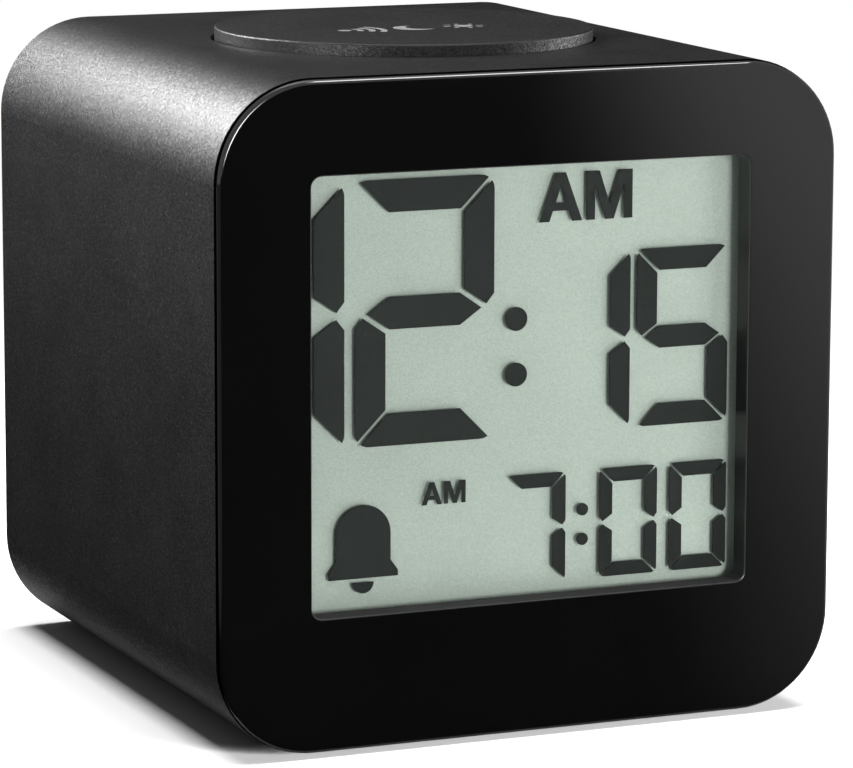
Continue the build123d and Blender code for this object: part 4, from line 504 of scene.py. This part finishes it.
class CLOCK_OT_mouldings(bpy.types.Operator):
    """Finish the case, the front, the button, the keys and the other plain mouldings"""

    bl_idname = "clock.mouldings"
    bl_label = "Finish the Mouldings"

    def execute(self, context):
        look = finishes()
        grain = look.case_grain
        # The case's front edge gets painted shade, for the shade in the groove round the front.
        satin = moulded(
            "satin_black_moulding", look.case_black, 0.42, grain, 0.1, 0.4, 0.12, 0.15, painted_shade_to=GROOVE_SHADE_DEPTH
        )
        dress_nodes(satin, "case_shell", "rear_cover", "battery_door")
        dress_nodes(polished("gloss_black_moulding", look.front_black, 0.06, 0.5, 0.9), "front_bezel")
        top = moulded("button_moulding", look.button_black, 0.42, grain, 0.1, 0.45, 0.12, 0.15)
        dress_nodes(top, "top_button")
        keys = moulded("key_moulding", look.key_black, 0.5, grain, 0.06, 0.45)
        dress_nodes(keys, "time_key", "alarm_key", "hour_key", "minute_key", "alarm_switch_knob")
        rubber = moulded("black_rubber_pad", (0.02, 0.02, 0.02, 1.0), 0.8, 0.3 * MM, 0.1, 0.3)
        dress_nodes(rubber, "rubber_feet")
        inner = moulded("inner_moulding", (0.04, 0.04, 0.04, 1.0), 0.55, 0.25 * MM, 0.05)
        dress_nodes(inner, "button_bridge")
        return {"FINISHED"}


def ground_sheet(name, node, chamfer):
    """A glass sheet in a node's place, a hair thinner than its gap and with its edges ground."""
    low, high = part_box(node)
    reach = high - low
    deselect_all()
    bpy.ops.mesh.primitive_cube_add(size=1.0, location=(low + high) / 2)
    sheet = bpy.context.object
    sheet.name = name
    sheet.scale = (reach.x, reach.y - 2 * GLUE_GAP, reach.z)
    apply_place(sheet)
    bpy.ops.object.mode_set(mode="EDIT")
    bpy.ops.mesh.select_all(action="SELECT")
    bpy.ops.mesh.bevel(offset=chamfer, segments=2, affect="EDGES")
    bpy.ops.object.mode_set(mode="OBJECT")
    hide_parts(node)
    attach(sheet, "case")
    return sheet


class CLOCK_OT_display(bpy.types.Operator):
    """Finish the display: pane, glasses, segments, sheet and the light behind it"""

    bl_idname = "clock.display"
    bl_label = "Finish the Display"

    def execute(self, context):
        look = finishes()
        pane = ground_sheet("window_pane", "display_window", 0.08 * MM)
        dress(pane, clear_sheet("polished_pane", BLACK, 1.45, 0.03))
        glass = clear_sheet("display_glass_sheet", (0.05, 0.07, 0.05, 1.0), 1.04, 0.05)
        for name, node in (("front_glass", "lcd_front_glass"), ("rear_glass", "lcd_rear_glass")):
            sheet = ground_sheet(name, node, 0.05 * MM)
            dress(sheet, glass)
        ink = moulded("segment_ink_film", look.segment_black, 0.6, 0.1 * MM, 0.01, 0.1, 0.06)
        dress_nodes(ink, "lcd_segments")
        sheet = moulded("display_sheet", look.display_grey, 0.7, 0.11 * MM, 0.02, 0.1, 0.045)
        # Painted light: the sheet is painted darker to the left and lighter to the right and along the
        # bottom, lifting the shade that the window's right wall and sill cast on it.
        paint_light_along(sheet, "X", start=-12 * MM, stop=18 * MM, first=0.94, last=1.11)
        paint_light_along(sheet, "Z", start=13 * MM, stop=24 * MM, first=1.13, last=1.0)
        dress_nodes(sheet, "lcd_reflector")
        guide = moulded("light_guide_block", (0.8, 0.83, 0.8, 1.0), 0.2, 0.8 * MM, 0.02, 0.5, 0.04)
        dress_nodes(guide, "light_guide")
        lamp = moulded("lamp_resin_cast", (0.85, 0.8, 0.55, 1.0), 0.3, 0.5 * MM, 0.02, 0.5, 0.05)
        dress_nodes(lamp, "backlight_leds")
        rubber = moulded("contact_rubber", (0.05, 0.05, 0.05, 1.0), 0.75, 0.2 * MM, 0.1, 0.3, 0.2)
        dress_nodes(rubber, "zebra_strips", "speaker_gasket")
        return {"FINISHED"}


class CLOCK_OT_works(bpy.types.Operator):
    """Finish the boards, switches, wires, contacts, cells and speaker inside"""

    bl_idname = "clock.works"
    bl_label = "Finish the Works"

    def execute(self, context):
        boards = circuit_board("green_board", (0.02, 0.12, 0.045, 1.0))
        dress_nodes(boards, "main_board", "snooze_board", "key_board")
        screws = plated("plated_screw", (0.42, 0.42, 0.43, 1.0), 0.3)
        dress_nodes(screws, "board_screws", "bridge_screws", "cover_screws", "key_board_screws")
        springs = plated("spring_wire", (0.6, 0.6, 0.6, 1.0), 0.25, (1.0, 1.0, 4.0))
        dress_nodes(springs, "button_spring", "contact_springs")
        contacts = plated("contact_plate", (0.66, 0.66, 0.65, 1.0), 0.28, (1.0, 1.0, 6.0))
        dress_nodes(contacts, "link_contact", "positive_contact", "negative_contact")
        cans = plated("drawn_can", (0.62, 0.62, 0.62, 1.0), 0.3, (0.2, 1.0, 1.0))
        dress_nodes(cans, "timing_crystal", "alarm_switch_housing")
        epoxy = moulded("moulded_epoxy", (0.012, 0.012, 0.012, 1.0), 0.45, 0.15 * MM, 0.06)
        dress_nodes(epoxy, "controller_blob", "voice_chip")
        sleeve = moulded("capacitor_sleeve_film", (0.02, 0.025, 0.07, 1.0), 0.3, 0.6 * MM, 0.02)
        dress_nodes(sleeve, "capacitors")
        socket = moulded("socket_nylon", (0.75, 0.72, 0.6, 1.0), 0.5, 0.3 * MM, 0.03, 0.5, 0.05)
        dress_nodes(socket, "board_connectors")
        switch = moulded("switch_body", (0.03, 0.03, 0.03, 1.0), 0.5, 0.2 * MM, 0.04)
        dress_nodes(switch, "snooze_switch", "key_switches")
        stem = moulded("switch_stem", (0.1, 0.1, 0.1, 1.0), 0.5, 0.2 * MM, 0.04)
        dress_nodes(stem, "snooze_switch_stem", *(key + "_stem" for key, _ in LEGENDS))
        body = (0.03, 0.07, 0.11, 1.0)
        band = (0.5, 0.27, 0.07, 1.0)
        bare = (0.6, 0.6, 0.6, 1.0)
        dress_nodes(sleeved_cell("upper_cell_sleeve", body, band, bare, False), "upper_battery")
        dress_nodes(sleeved_cell("lower_cell_sleeve", body, band, bare, True), "lower_battery")
        basket = moulded("basket_paint", (0.03, 0.03, 0.03, 1.0), 0.4, 0.4 * MM, 0.04)
        dress_nodes(basket, "speaker_basket")
        ferrite = moulded("sintered_ferrite", (0.05, 0.05, 0.052, 1.0), 0.6, 0.1 * MM, 0.12, 0.4, 0.25)
        dress_nodes(ferrite, "speaker_magnet")
        paper = moulded("pressed_paper", (0.035, 0.033, 0.03, 1.0), 0.85, 0.25 * MM, 0.15, 0.2, 0.25)
        dress_nodes(paper, "speaker_cone")
        dress_nodes(woven("speaker_weave", (0.02, 0.02, 0.02, 1.0), 0.5 * MM), "speaker_mesh")
        ribbon = ribbon_film("tinned_ribbon", (0.7, 0.69, 0.65, 1.0), 1.0 * MM)
        dress_nodes(ribbon, "snooze_ribbon", "key_ribbon")
        wire = moulded("wire_sleeve", (0.3, 0.02, 0.015, 1.0), 0.4, 0.5 * MM, 0.02)
        dress_nodes(wire, "battery_leads", "speaker_leads")
        return {"FINISHED"}


def disc(x, y, radius, low, high):
    """A round slug that stands upright."""
    deselect_all()
    bpy.ops.mesh.primitive_cylinder_add(
        vertices=64, radius=radius, depth=high - low, location=(x, y, (low + high) / 2)
    )
    return bpy.context.object


def ray(x, y, turn, start, stop, width, low, high):
    """A short bar that points away from a middle."""
    deselect_all()
    out = (start + stop) / 2
    place = (x + out * math.cos(turn), y + out * math.sin(turn), (low + high) / 2)
    bpy.ops.mesh.primitive_cube_add(size=1.0, location=place, rotation=(0.0, 0.0, turn))
    bar = bpy.context.object
    bar.scale = (stop - start, width, high - low)
    apply_place(bar)
    return bar


def arc(x, y, radius, width, turn, sweep, low, high):
    """A bent bar: an upright face spun about a middle."""
    deselect_all()
    start = turn + sweep / 2
    place = (x + radius * math.cos(start), y + radius * math.sin(start), (low + high) / 2)
    bpy.ops.mesh.primitive_plane_add(size=1.0, location=place, rotation=(math.pi / 2, 0.0, start))
    bow = bpy.context.object
    bow.scale = (width, high - low, 1.0)
    apply_place(bow)
    bpy.ops.object.mode_set(mode="EDIT")
    bpy.ops.mesh.select_all(action="SELECT")
    bpy.ops.mesh.spin(steps=20, angle=sweep, center=(x, y, 0.0), axis=(0.0, 0.0, 1.0))
    bpy.ops.mesh.select_all(action="SELECT")
    bpy.ops.mesh.remove_doubles(threshold=MERGE_DISTANCE)
    bpy.ops.mesh.normals_make_consistent(inside=False)
    bpy.ops.object.mode_set(mode="OBJECT")
    return bow


def cut(piece, cutter, how="DIFFERENCE"):
    """Cut one solid with another, whose material lines the cut, and remove the cutter."""
    select_only(piece)
    tool = piece.modifiers.new("cut", "BOOLEAN")
    tool.operation = how
    tool.solver = "EXACT"
    tool.material_mode = "TRANSFER"
    tool.object = cutter
    bpy.ops.object.modifier_apply(modifier=tool.name)
    bpy.data.objects.remove(cutter)


def merged_copy(name, node):
    """A copy of a CAD node whose loose triangles are merged, to be worked on as a piece of its own."""
    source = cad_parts[node]
    piece = bpy.data.objects.new(name, source.data.copy())
    bpy.context.scene.collection.objects.link(piece)
    select_only(piece)
    bpy.ops.mesh.customdata_custom_splitnormals_clear()
    bpy.ops.object.mode_set(mode="EDIT")
    bpy.ops.mesh.select_all(action="SELECT")
    bpy.ops.mesh.remove_doubles(threshold=MERGE_DISTANCE)
    bpy.ops.object.mode_set(mode="OBJECT")
    return piece


def smooth_faces(piece):
    """Smooth the round faces and keep the flat ones flat."""
    select_only(piece)
    bpy.ops.object.shade_smooth_by_angle(angle=SMOOTH_ANGLE)
    even = piece.modifiers.new("even", "WEIGHTED_NORMAL")
    even.keep_sharp = True
    bpy.ops.object.modifier_apply(modifier=even.name)


class CLOCK_OT_button(bpy.types.Operator):
    """Inlay the top button with pale icons for speaking, sleeping on and lighting up"""

    bl_idname = "clock.button"
    bl_label = "Inlay the Top Button"

    def execute(self, context):
        sizes = marks()
        look = finishes()
        half = sizes.icon_height / 2
        low = BUTTON_TOP - sizes.inlay_depth
        high = BUTTON_TOP + 1 * MM
        row = sizes.icon_row
        stroke = 0.2 * half
        cap = merged_copy("button_cap", "top_button")
        dress(cap, bpy.data.materials["button_moulding"])
        paint = moulded("pale_inlay", look.print_grey, 0.5, 0.2 * MM, 0.02, 0.3, 0.04)
        icons = self.speech(-row, -sizes.icon_shift, half, stroke, low, high)
        icons.append(self.moon(0.0, -sizes.icon_shift, half, low, high))
        icons += self.lamp(row, -sizes.icon_shift, half, stroke, low, high)
        for icon in icons:
            dress(icon, paint)
            cut(cap, icon)
        smooth_faces(cap)
        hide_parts("top_button")
        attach(cap, "top_button")
        return {"FINISHED"}

    def speech(self, x, y, half, stroke, low, high):
        """A dot and three waves of sound to its right."""
        left = x - half
        parts = [disc(left, y, 1.6 * stroke, low, high)]
        for share in (0.75, 1.3, 1.85):
            parts.append(arc(left, y, share * half, 1.5 * stroke, 0.0, math.radians(80), low, high))
        return parts

    def moon(self, x, y, half, low, high):
        """A crescent."""
        crescent = disc(x, y, half, low, high)
        cut(crescent, disc(x + 0.55 * half, y + 0.2 * half, 0.85 * half, low - MM, high + MM))
        return crescent

    def lamp(self, x, y, half, stroke, low, high):
        """A round lamp with eight rays."""
        parts = [disc(x, y, 0.45 * half, low, high)]
        for step in range(8):
            parts.append(ray(x, y, step * math.pi / 4, 0.65 * half, half, stroke, low, high))
        return parts


class CLOCK_OT_button_coil(bpy.types.Operator):
    """Make the spring under the button: a smoothed copy of the CAD spring, with a mesh of its own"""

    bl_idname = "clock.button_coil"
    bl_label = "Coil the Button's Spring"

    def execute(self, context):
        coil = merged_copy("button_coil", "button_spring")
        smooth_faces(coil)
        dress(coil, bpy.data.materials["spring_wire"])
        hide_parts("button_spring")
        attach(coil, "case")
        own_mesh(coil)
        return {"FINISHED"}


def legend(words, x, z, height, thickness):
    """Words that read from behind, printed on the rear cover."""
    deselect_all()
    bpy.ops.object.text_add(location=(0.0, 0.0, 0.0))
    lettering = bpy.context.object
    lettering.data.body = words
    lettering.data.size = height / CAP_SHARE
    lettering.data.align_x = "CENTER"
    lettering.data.align_y = "CENTER"
    lettering.data.extrude = thickness / 2
    bpy.ops.object.convert(target="MESH")
    lettering = bpy.context.object
    lettering.rotation_euler = (math.pi / 2, 0.0, math.pi)
    lettering.location = (x, COVER_FACE + thickness / 2, z)
    apply_place(lettering)
    return lettering


class CLOCK_OT_legends(bpy.types.Operator):
    """Print the legends of the keys and the slider on the rear cover"""

    bl_idname = "clock.legends"
    bl_label = "Print the Back's Legends"

    def execute(self, context):
        sizes = marks()
        height = sizes.legend_height
        thickness = sizes.print_thickness
        parts = []
        for key, words in LEGENDS:
            low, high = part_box(key)
            parts.append(legend(words, (low.x + high.x) / 2, low.z - LEGEND_DROP, height, thickness))
        low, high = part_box("alarm_switch_knob")
        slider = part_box("alarm_switch_housing")
        level = (low.z + high.z) / 2
        parts.append(legend("ON", slider[1].x + ON_OFFSET, level, height, thickness))
        parts.append(legend("OFF", slider[0].x - OFF_OFFSET, level, height, thickness))
        print_run = join_as("back_legends", parts)
        paint = moulded("legend_print", finishes().print_grey, 0.55, 0.15 * MM, 0.02, 0.3, 0.04)
        dress(print_run, paint)
        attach(print_run, "case")
        return {"FINISHED"}


class CLOCK_OT_door_grip(bpy.types.Operator):
    """Raise the grip ridges on the battery door, below its thumb scoop"""

    bl_idname = "clock.door_grip"
    bl_label = "Raise the Door's Grip"

    def execute(self, context):
        sizes = marks()
        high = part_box("battery_door")[1]
        rise = sizes.ridge_height
        deselect_all()
        place = (0.0, COVER_FACE + rise / 2 - RIDGE_ROOT / 2, high.z - RIDGE_DROP)
        bpy.ops.mesh.primitive_cube_add(size=1.0, location=place)
        ridge = bpy.context.object
        ridge.scale = (RIDGE_LENGTH, rise + RIDGE_ROOT, RIDGE_WIDTH)
        apply_place(ridge)
        bpy.ops.object.mode_set(mode="EDIT")
        bpy.ops.mesh.select_all(action="SELECT")
        bpy.ops.mesh.bevel(offset=0.35 * rise, segments=4, affect="EDGES")
        bpy.ops.object.mode_set(mode="OBJECT")
        row = ridge.modifiers.new("row", "ARRAY")
        row.count = RIDGE_COUNT
        row.use_relative_offset = False
        row.use_constant_offset = True
        row.constant_offset_displace = (0.0, 0.0, -RIDGE_STEP)
        apply_modifiers(ridge)
        ridge.name = "door_grip"
        smooth_faces(ridge)
        dress(ridge, bpy.data.materials["satin_black_moulding"])
        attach(ridge, "battery_door")
        return {"FINISHED"}


def aim_lamp(name, place, aim, size, radiance, size_y=None):
    """A soft box at a place, turned to its aim, as bright as asked over its face."""
    deselect_all()
    bpy.ops.object.light_add(type="AREA", location=place)
    lamp = bpy.context.object
    lamp.name = name
    lamp.rotation_euler = (Vector(aim) - Vector(place)).to_track_quat("-Z", "Y").to_euler()
    lamp.data.shape = "RECTANGLE"
    lamp.data.size = size
    lamp.data.size_y = size_y or size
    lamp.data.energy = radiance * math.pi * lamp.data.size * lamp.data.size_y
    return lamp


def seen_directly(tree):
    """One where the camera, a reflection or a clear piece shows the surface, else nought."""
    path = tree.nodes.new("ShaderNodeLightPath")
    seen = worked(tree, "MAXIMUM", path.outputs["Is Camera Ray"], path.outputs["Is Glossy Ray"])
    return worked(tree, "MAXIMUM", seen, path.outputs["Is Transmission Ray"])


def reflection_card(name, low, high, glow, fade, start, stop):
    """A studio card that only reflections show, facing along the axis in which it has no reach.

    A card with a glow adds it, and one without hides what is behind. Either fades from start to stop
    along the direction of fade."""
    reach = Vector(high) - Vector(low)
    if reach.x == 0:
        turn = (0.0, math.pi / 2, 0.0)
        spread = (reach.z, reach.y, 1.0)
    elif reach.y == 0:
        turn = (math.pi / 2, 0.0, 0.0)
        spread = (reach.x, reach.z, 1.0)
    else:
        turn = (0.0, 0.0, 0.0)
        spread = (reach.x, reach.y, 1.0)
    deselect_all()
    bpy.ops.mesh.primitive_plane_add(size=1.0, location=(Vector(low) + Vector(high)) / 2, rotation=turn)
    card = bpy.context.object
    card.name = name
    card.scale = spread
    apply_place(card)
    material = bpy.data.materials.new(name)
    material.use_nodes = True
    tree = material.node_tree
    tree.nodes.remove(tree.nodes["Principled BSDF"])
    place = tree.nodes.new("ShaderNodeTexCoord")
    along = tree.nodes.new("ShaderNodeVectorMath")
    along.operation = "DOT_PRODUCT"
    along.inputs[1].default_value = fade
    tree.links.new(place.outputs["Object"], along.inputs[0])
    share = between(tree, along.outputs["Value"], 1.0, 0.0, start, stop)
    share.node.interpolation_type = "SMOOTHSTEP"
    through = tree.nodes.new("ShaderNodeBsdfTransparent")
    face = tree.nodes.new("ShaderNodeEmission")
    if glow:
        tree.links.new(worked(tree, "MULTIPLY", share, glow), face.inputs["Strength"])
        blend = tree.nodes.new("ShaderNodeAddShader")
        ends = blend.inputs[0], blend.inputs[1]
    else:
        face.inputs["Strength"].default_value = 0.0
        blend = tree.nodes.new("ShaderNodeMixShader")
        tree.links.new(share, blend.inputs["Fac"])
        ends = blend.inputs[1], blend.inputs[2]
    tree.links.new(through.outputs["BSDF"], ends[0])
    tree.links.new(face.outputs["Emission"], ends[1])
    tree.links.new(blend.outputs["Shader"], tree.nodes["Material Output"].inputs["Surface"])
    dress(card, material)
    card.visible_camera = False
    card.visible_diffuse = False
    card.visible_transmission = False
    card.visible_shadow = False
    return card


def light_only(source, *pieces):
    """Let a lamp or the glow of a card fall on some pieces alone."""
    lit = bpy.data.collections.new(source.name + "_lit")
    for piece in pieces:
        lit.objects.link(piece)
    source.light_linking.receiver_collection = lit


class CLOCK_OT_stage(bpy.types.Operator):
    """Lay the pale floor, light it and set the camera"""

    bl_idname = "clock.stage"
    bl_label = "Set the Stage"

    def execute(self, context):
        setting = context.scene.clock_stage
        floor = self.lay_floor(setting)
        self.light_it(setting, floor)
        self.stand_cards()
        self.set_camera(setting)
        context.scene.view_settings.view_transform = "Standard"
        return {"FINISHED"}

    def lay_floor(self, setting):
        deselect_all()
        bpy.ops.mesh.primitive_plane_add(size=6.0, location=(0.0, 0.0, 0.0))
        floor = bpy.context.object
        floor.name = "floor"
        material, tree, shader, place = start_material("pale_floor")
        speck = noise(tree, place, 2 * MM, 2.0)
        white = setting.floor_white
        bounce = mixed(tree, speck, shade(white, 0.09), shade(white, 0.1))
        tree.links.new(bounce, shader.inputs["Base Color"])
        shader.inputs["Roughness"].default_value = 0.5
        shader.inputs["Specular IOR Level"].default_value = 0.2
        path = tree.nodes.new("ShaderNodeLightPath")
        shaded = tree.nodes.new("ShaderNodeBsdfDiffuse")
        mirrored = shade(white, 0.15)
        hue = mixed(tree, path.outputs["Is Camera Ray"], mirrored, shade(white, 0.4))
        tree.links.new(hue, shaded.inputs["Color"])
        sweep = tree.nodes.new("ShaderNodeEmission")
        away = tree.nodes.new("ShaderNodeVectorMath")
        away.operation = "LENGTH"
        tree.links.new(place, away.inputs[0])
        shown = tree.nodes.new("ShaderNodeMixShader")
        tree.links.new(between(tree, away.outputs["Value"], 0.0, 1.0, 0.1, 0.25), shown.inputs["Fac"])
        tree.links.new(shaded.outputs["BSDF"], shown.inputs[1])
        tree.links.new(sweep.outputs["Emission"], shown.inputs[2])
        blend = tree.nodes.new("ShaderNodeMixShader")
        tree.links.new(seen_directly(tree), blend.inputs["Fac"])
        tree.links.new(shader.outputs["BSDF"], blend.inputs[1])
        tree.links.new(shown.outputs["Shader"], blend.inputs[2])
        tree.links.new(blend.outputs["Shader"], tree.nodes["Material Output"].inputs["Surface"])
        dress(floor, material)
        return floor

    def light_it(self, setting, floor):
        world = bpy.data.worlds.new("studio")
        bpy.context.scene.world = world
        world.use_nodes = True
        tree = world.node_tree
        fill = tree.nodes["Background"]
        fill.inputs["Color"].default_value = (1.0, 1.0, 1.0, 1.0)
        fill.inputs["Strength"].default_value = setting.fill
        shown = tree.nodes.new("ShaderNodeBackground")
        shown.inputs["Color"].default_value = (1.0, 1.0, 1.0, 1.0)
        blend = tree.nodes.new("ShaderNodeMixShader")
        tree.links.new(seen_directly(tree), blend.inputs["Fac"])
        tree.links.new(fill.outputs["Background"], blend.inputs[1])
        tree.links.new(shown.outputs["Background"], blend.inputs[2])
        tree.links.new(blend.outputs["Shader"], tree.nodes["World Output"].inputs["Surface"])
        clock = (0.0, 0.0, 0.03)
        aim_lamp("overhead_box", (0.1, 0.05, 0.95), clock, size=0.9, size_y=0.4, radiance=2.5)
        front = aim_lamp("front_box", (0.02, -0.85, 0.12), clock, size=0.2, radiance=34.0)
        nodes = [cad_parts[name] for name in ("front_bezel", "lcd_segments", "lcd_reflector")]
        sheets = [bpy.data.objects[name] for name in ("window_pane", "front_glass", "rear_glass")]
        light_only(front, *nodes, *sheets)
        for lamp in (
            aim_lamp("table_box", (0.0, 0.0, 0.95), clock, size=0.75, size_y=0.5, radiance=38.0),
            aim_lamp("table_strip", (0.5, -0.85, 0.13), clock, size=0.15, radiance=1400.0),
        ):
            light_only(lamp, floor)

    def stand_cards(self):
        bpy.context.scene.cycles.transparent_max_bounces = 32
        reflection_card("front_card", (-0.5, -0.9, 0.0002), (0.7, -0.0305, 0.0002), glow=0.0,
                        fade=(1.0, 0.42, 0.0), start=-0.002, stop=0.058)
        reflection_card("left_card", (-0.9, -0.5, 0.0002), (-0.031, 0.9, 0.0002), glow=0.0,
                        fade=(0.0, 1.0, 0.0), start=0.2, stop=0.7)
        reflection_card("back_card", (-0.7, 0.35, 0.0), (1.2, 0.35, 0.9), glow=0.0,
                        fade=(-0.5, 0.0, 1.0), start=0.25, stop=0.6)
        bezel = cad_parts["front_bezel"]
        button = bpy.data.objects["button_cap"]
        line = reflection_card("line_card", (0.24, -0.6, 0.7), (0.42, -0.28, 0.7), glow=24.0,
                               fade=(-1.0, 0.0, 0.0), start=0.0, stop=1.0)
        light_only(line, bezel)
        band = reflection_card("band_card", (-0.08, -0.12, 0.0), (-0.08, 0.05, 0.06), glow=0.25,
                               fade=(0.0, 0.0, 1.0), start=0.04, stop=0.06)
        light_only(band, bezel)
        for name, x, y in (("left_wall_card", -0.3, -0.15), ("right_wall_card", 0.3, -0.05)):
            wall = reflection_card(name, (x, y - 0.12, 0.061), (x, y + 0.12, 0.1), glow=20.0,
                                   fade=(0.0, 0.0, 1.0), start=0.08, stop=0.1)
            light_only(wall, button)
        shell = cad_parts["case_shell"]
        edge = reflection_card("edge_card", (-0.24, 0.16, 0.12), (-0.04, 0.16, 0.24), glow=26.0,
                               fade=(1.0, 0.0, 0.0), start=-0.09, stop=-0.04)
        light_only(edge, shell, button)
        side = reflection_card("side_card", (-0.3, 0.16, 0.05), (-0.08, 0.16, 0.14), glow=8.0,
                               fade=(0.0, 0.0, -1.0), start=-0.14, stop=-0.05)
        light_only(side, shell)

    def set_camera(self, setting):
        turn = setting.azimuth
        rise = setting.elevation
        back = Vector((math.sin(turn) * math.cos(rise), -math.cos(turn) * math.cos(rise), math.sin(rise)))
        right = Vector((math.cos(turn), math.sin(turn), 0.0))
        up = back.cross(right)
        tilted_right = math.cos(setting.roll) * right + math.sin(setting.roll) * up
        tilted_up = back.cross(tilted_right)
        deselect_all()
        bpy.ops.object.camera_add(location=Vector(setting.aim) + setting.distance * back)
        camera = bpy.context.object
        camera.name = "camera"
        camera.rotation_euler = Matrix((tilted_right, tilted_up, back)).transposed().to_euler()
        camera.data.sensor_fit = "HORIZONTAL"
        camera.data.sensor_width = 36.0
        camera.data.lens = setting.lens
        camera.data.clip_start = 0.01
        camera.data.clip_end = 20.0
        bpy.context.scene.camera = camera


class CLOCK_PT_sidebar(bpy.types.Panel):
    """Lists the clock's operators and settings"""

    bl_idname = "CLOCK_PT_sidebar"
    bl_label = "Cube Talking Clock"
    bl_space_type = "VIEW_3D"
    bl_region_type = "UI"
    bl_category = "Clock"

    def draw(self, context):
        layout = self.layout
        for operator in OPERATORS:
            layout.operator(operator.bl_idname)
        scene = context.scene
        for settings in (scene.clock_finishes, scene.clock_marks, scene.clock_stage):
            box = layout.box()
            for key in settings.__annotations__:
                box.prop(settings, key)


OPERATORS = (
    CLOCK_OT_mouldings,
    CLOCK_OT_display,
    CLOCK_OT_works,
    CLOCK_OT_button,
    CLOCK_OT_button_coil,
    CLOCK_OT_legends,
    CLOCK_OT_door_grip,
    CLOCK_OT_stage,
)
CLASSES = (ClockFinishes, ClockMarks, ClockStage, *OPERATORS, CLOCK_PT_sidebar)


def register():
    for entry in CLASSES:
        bpy.utils.register_class(entry)
    bpy.types.Scene.clock_finishes = PointerProperty(type=ClockFinishes)
    bpy.types.Scene.clock_marks = PointerProperty(type=ClockMarks)
    bpy.types.Scene.clock_stage = PointerProperty(type=ClockStage)


def unregister():
    del bpy.types.Scene.clock_stage
    del bpy.types.Scene.clock_marks
    del bpy.types.Scene.clock_finishes
    for entry in reversed(CLASSES):
        bpy.utils.unregister_class(entry)


def main():
    register()
    bpy.ops.clock.mouldings()
    bpy.ops.clock.display()
    bpy.ops.clock.works()
    bpy.ops.clock.button()
    bpy.ops.clock.button_coil()
    bpy.ops.clock.legends()
    bpy.ops.clock.door_grip()
    bpy.ops.clock.stage()


if __name__ == "__main__":
    main()
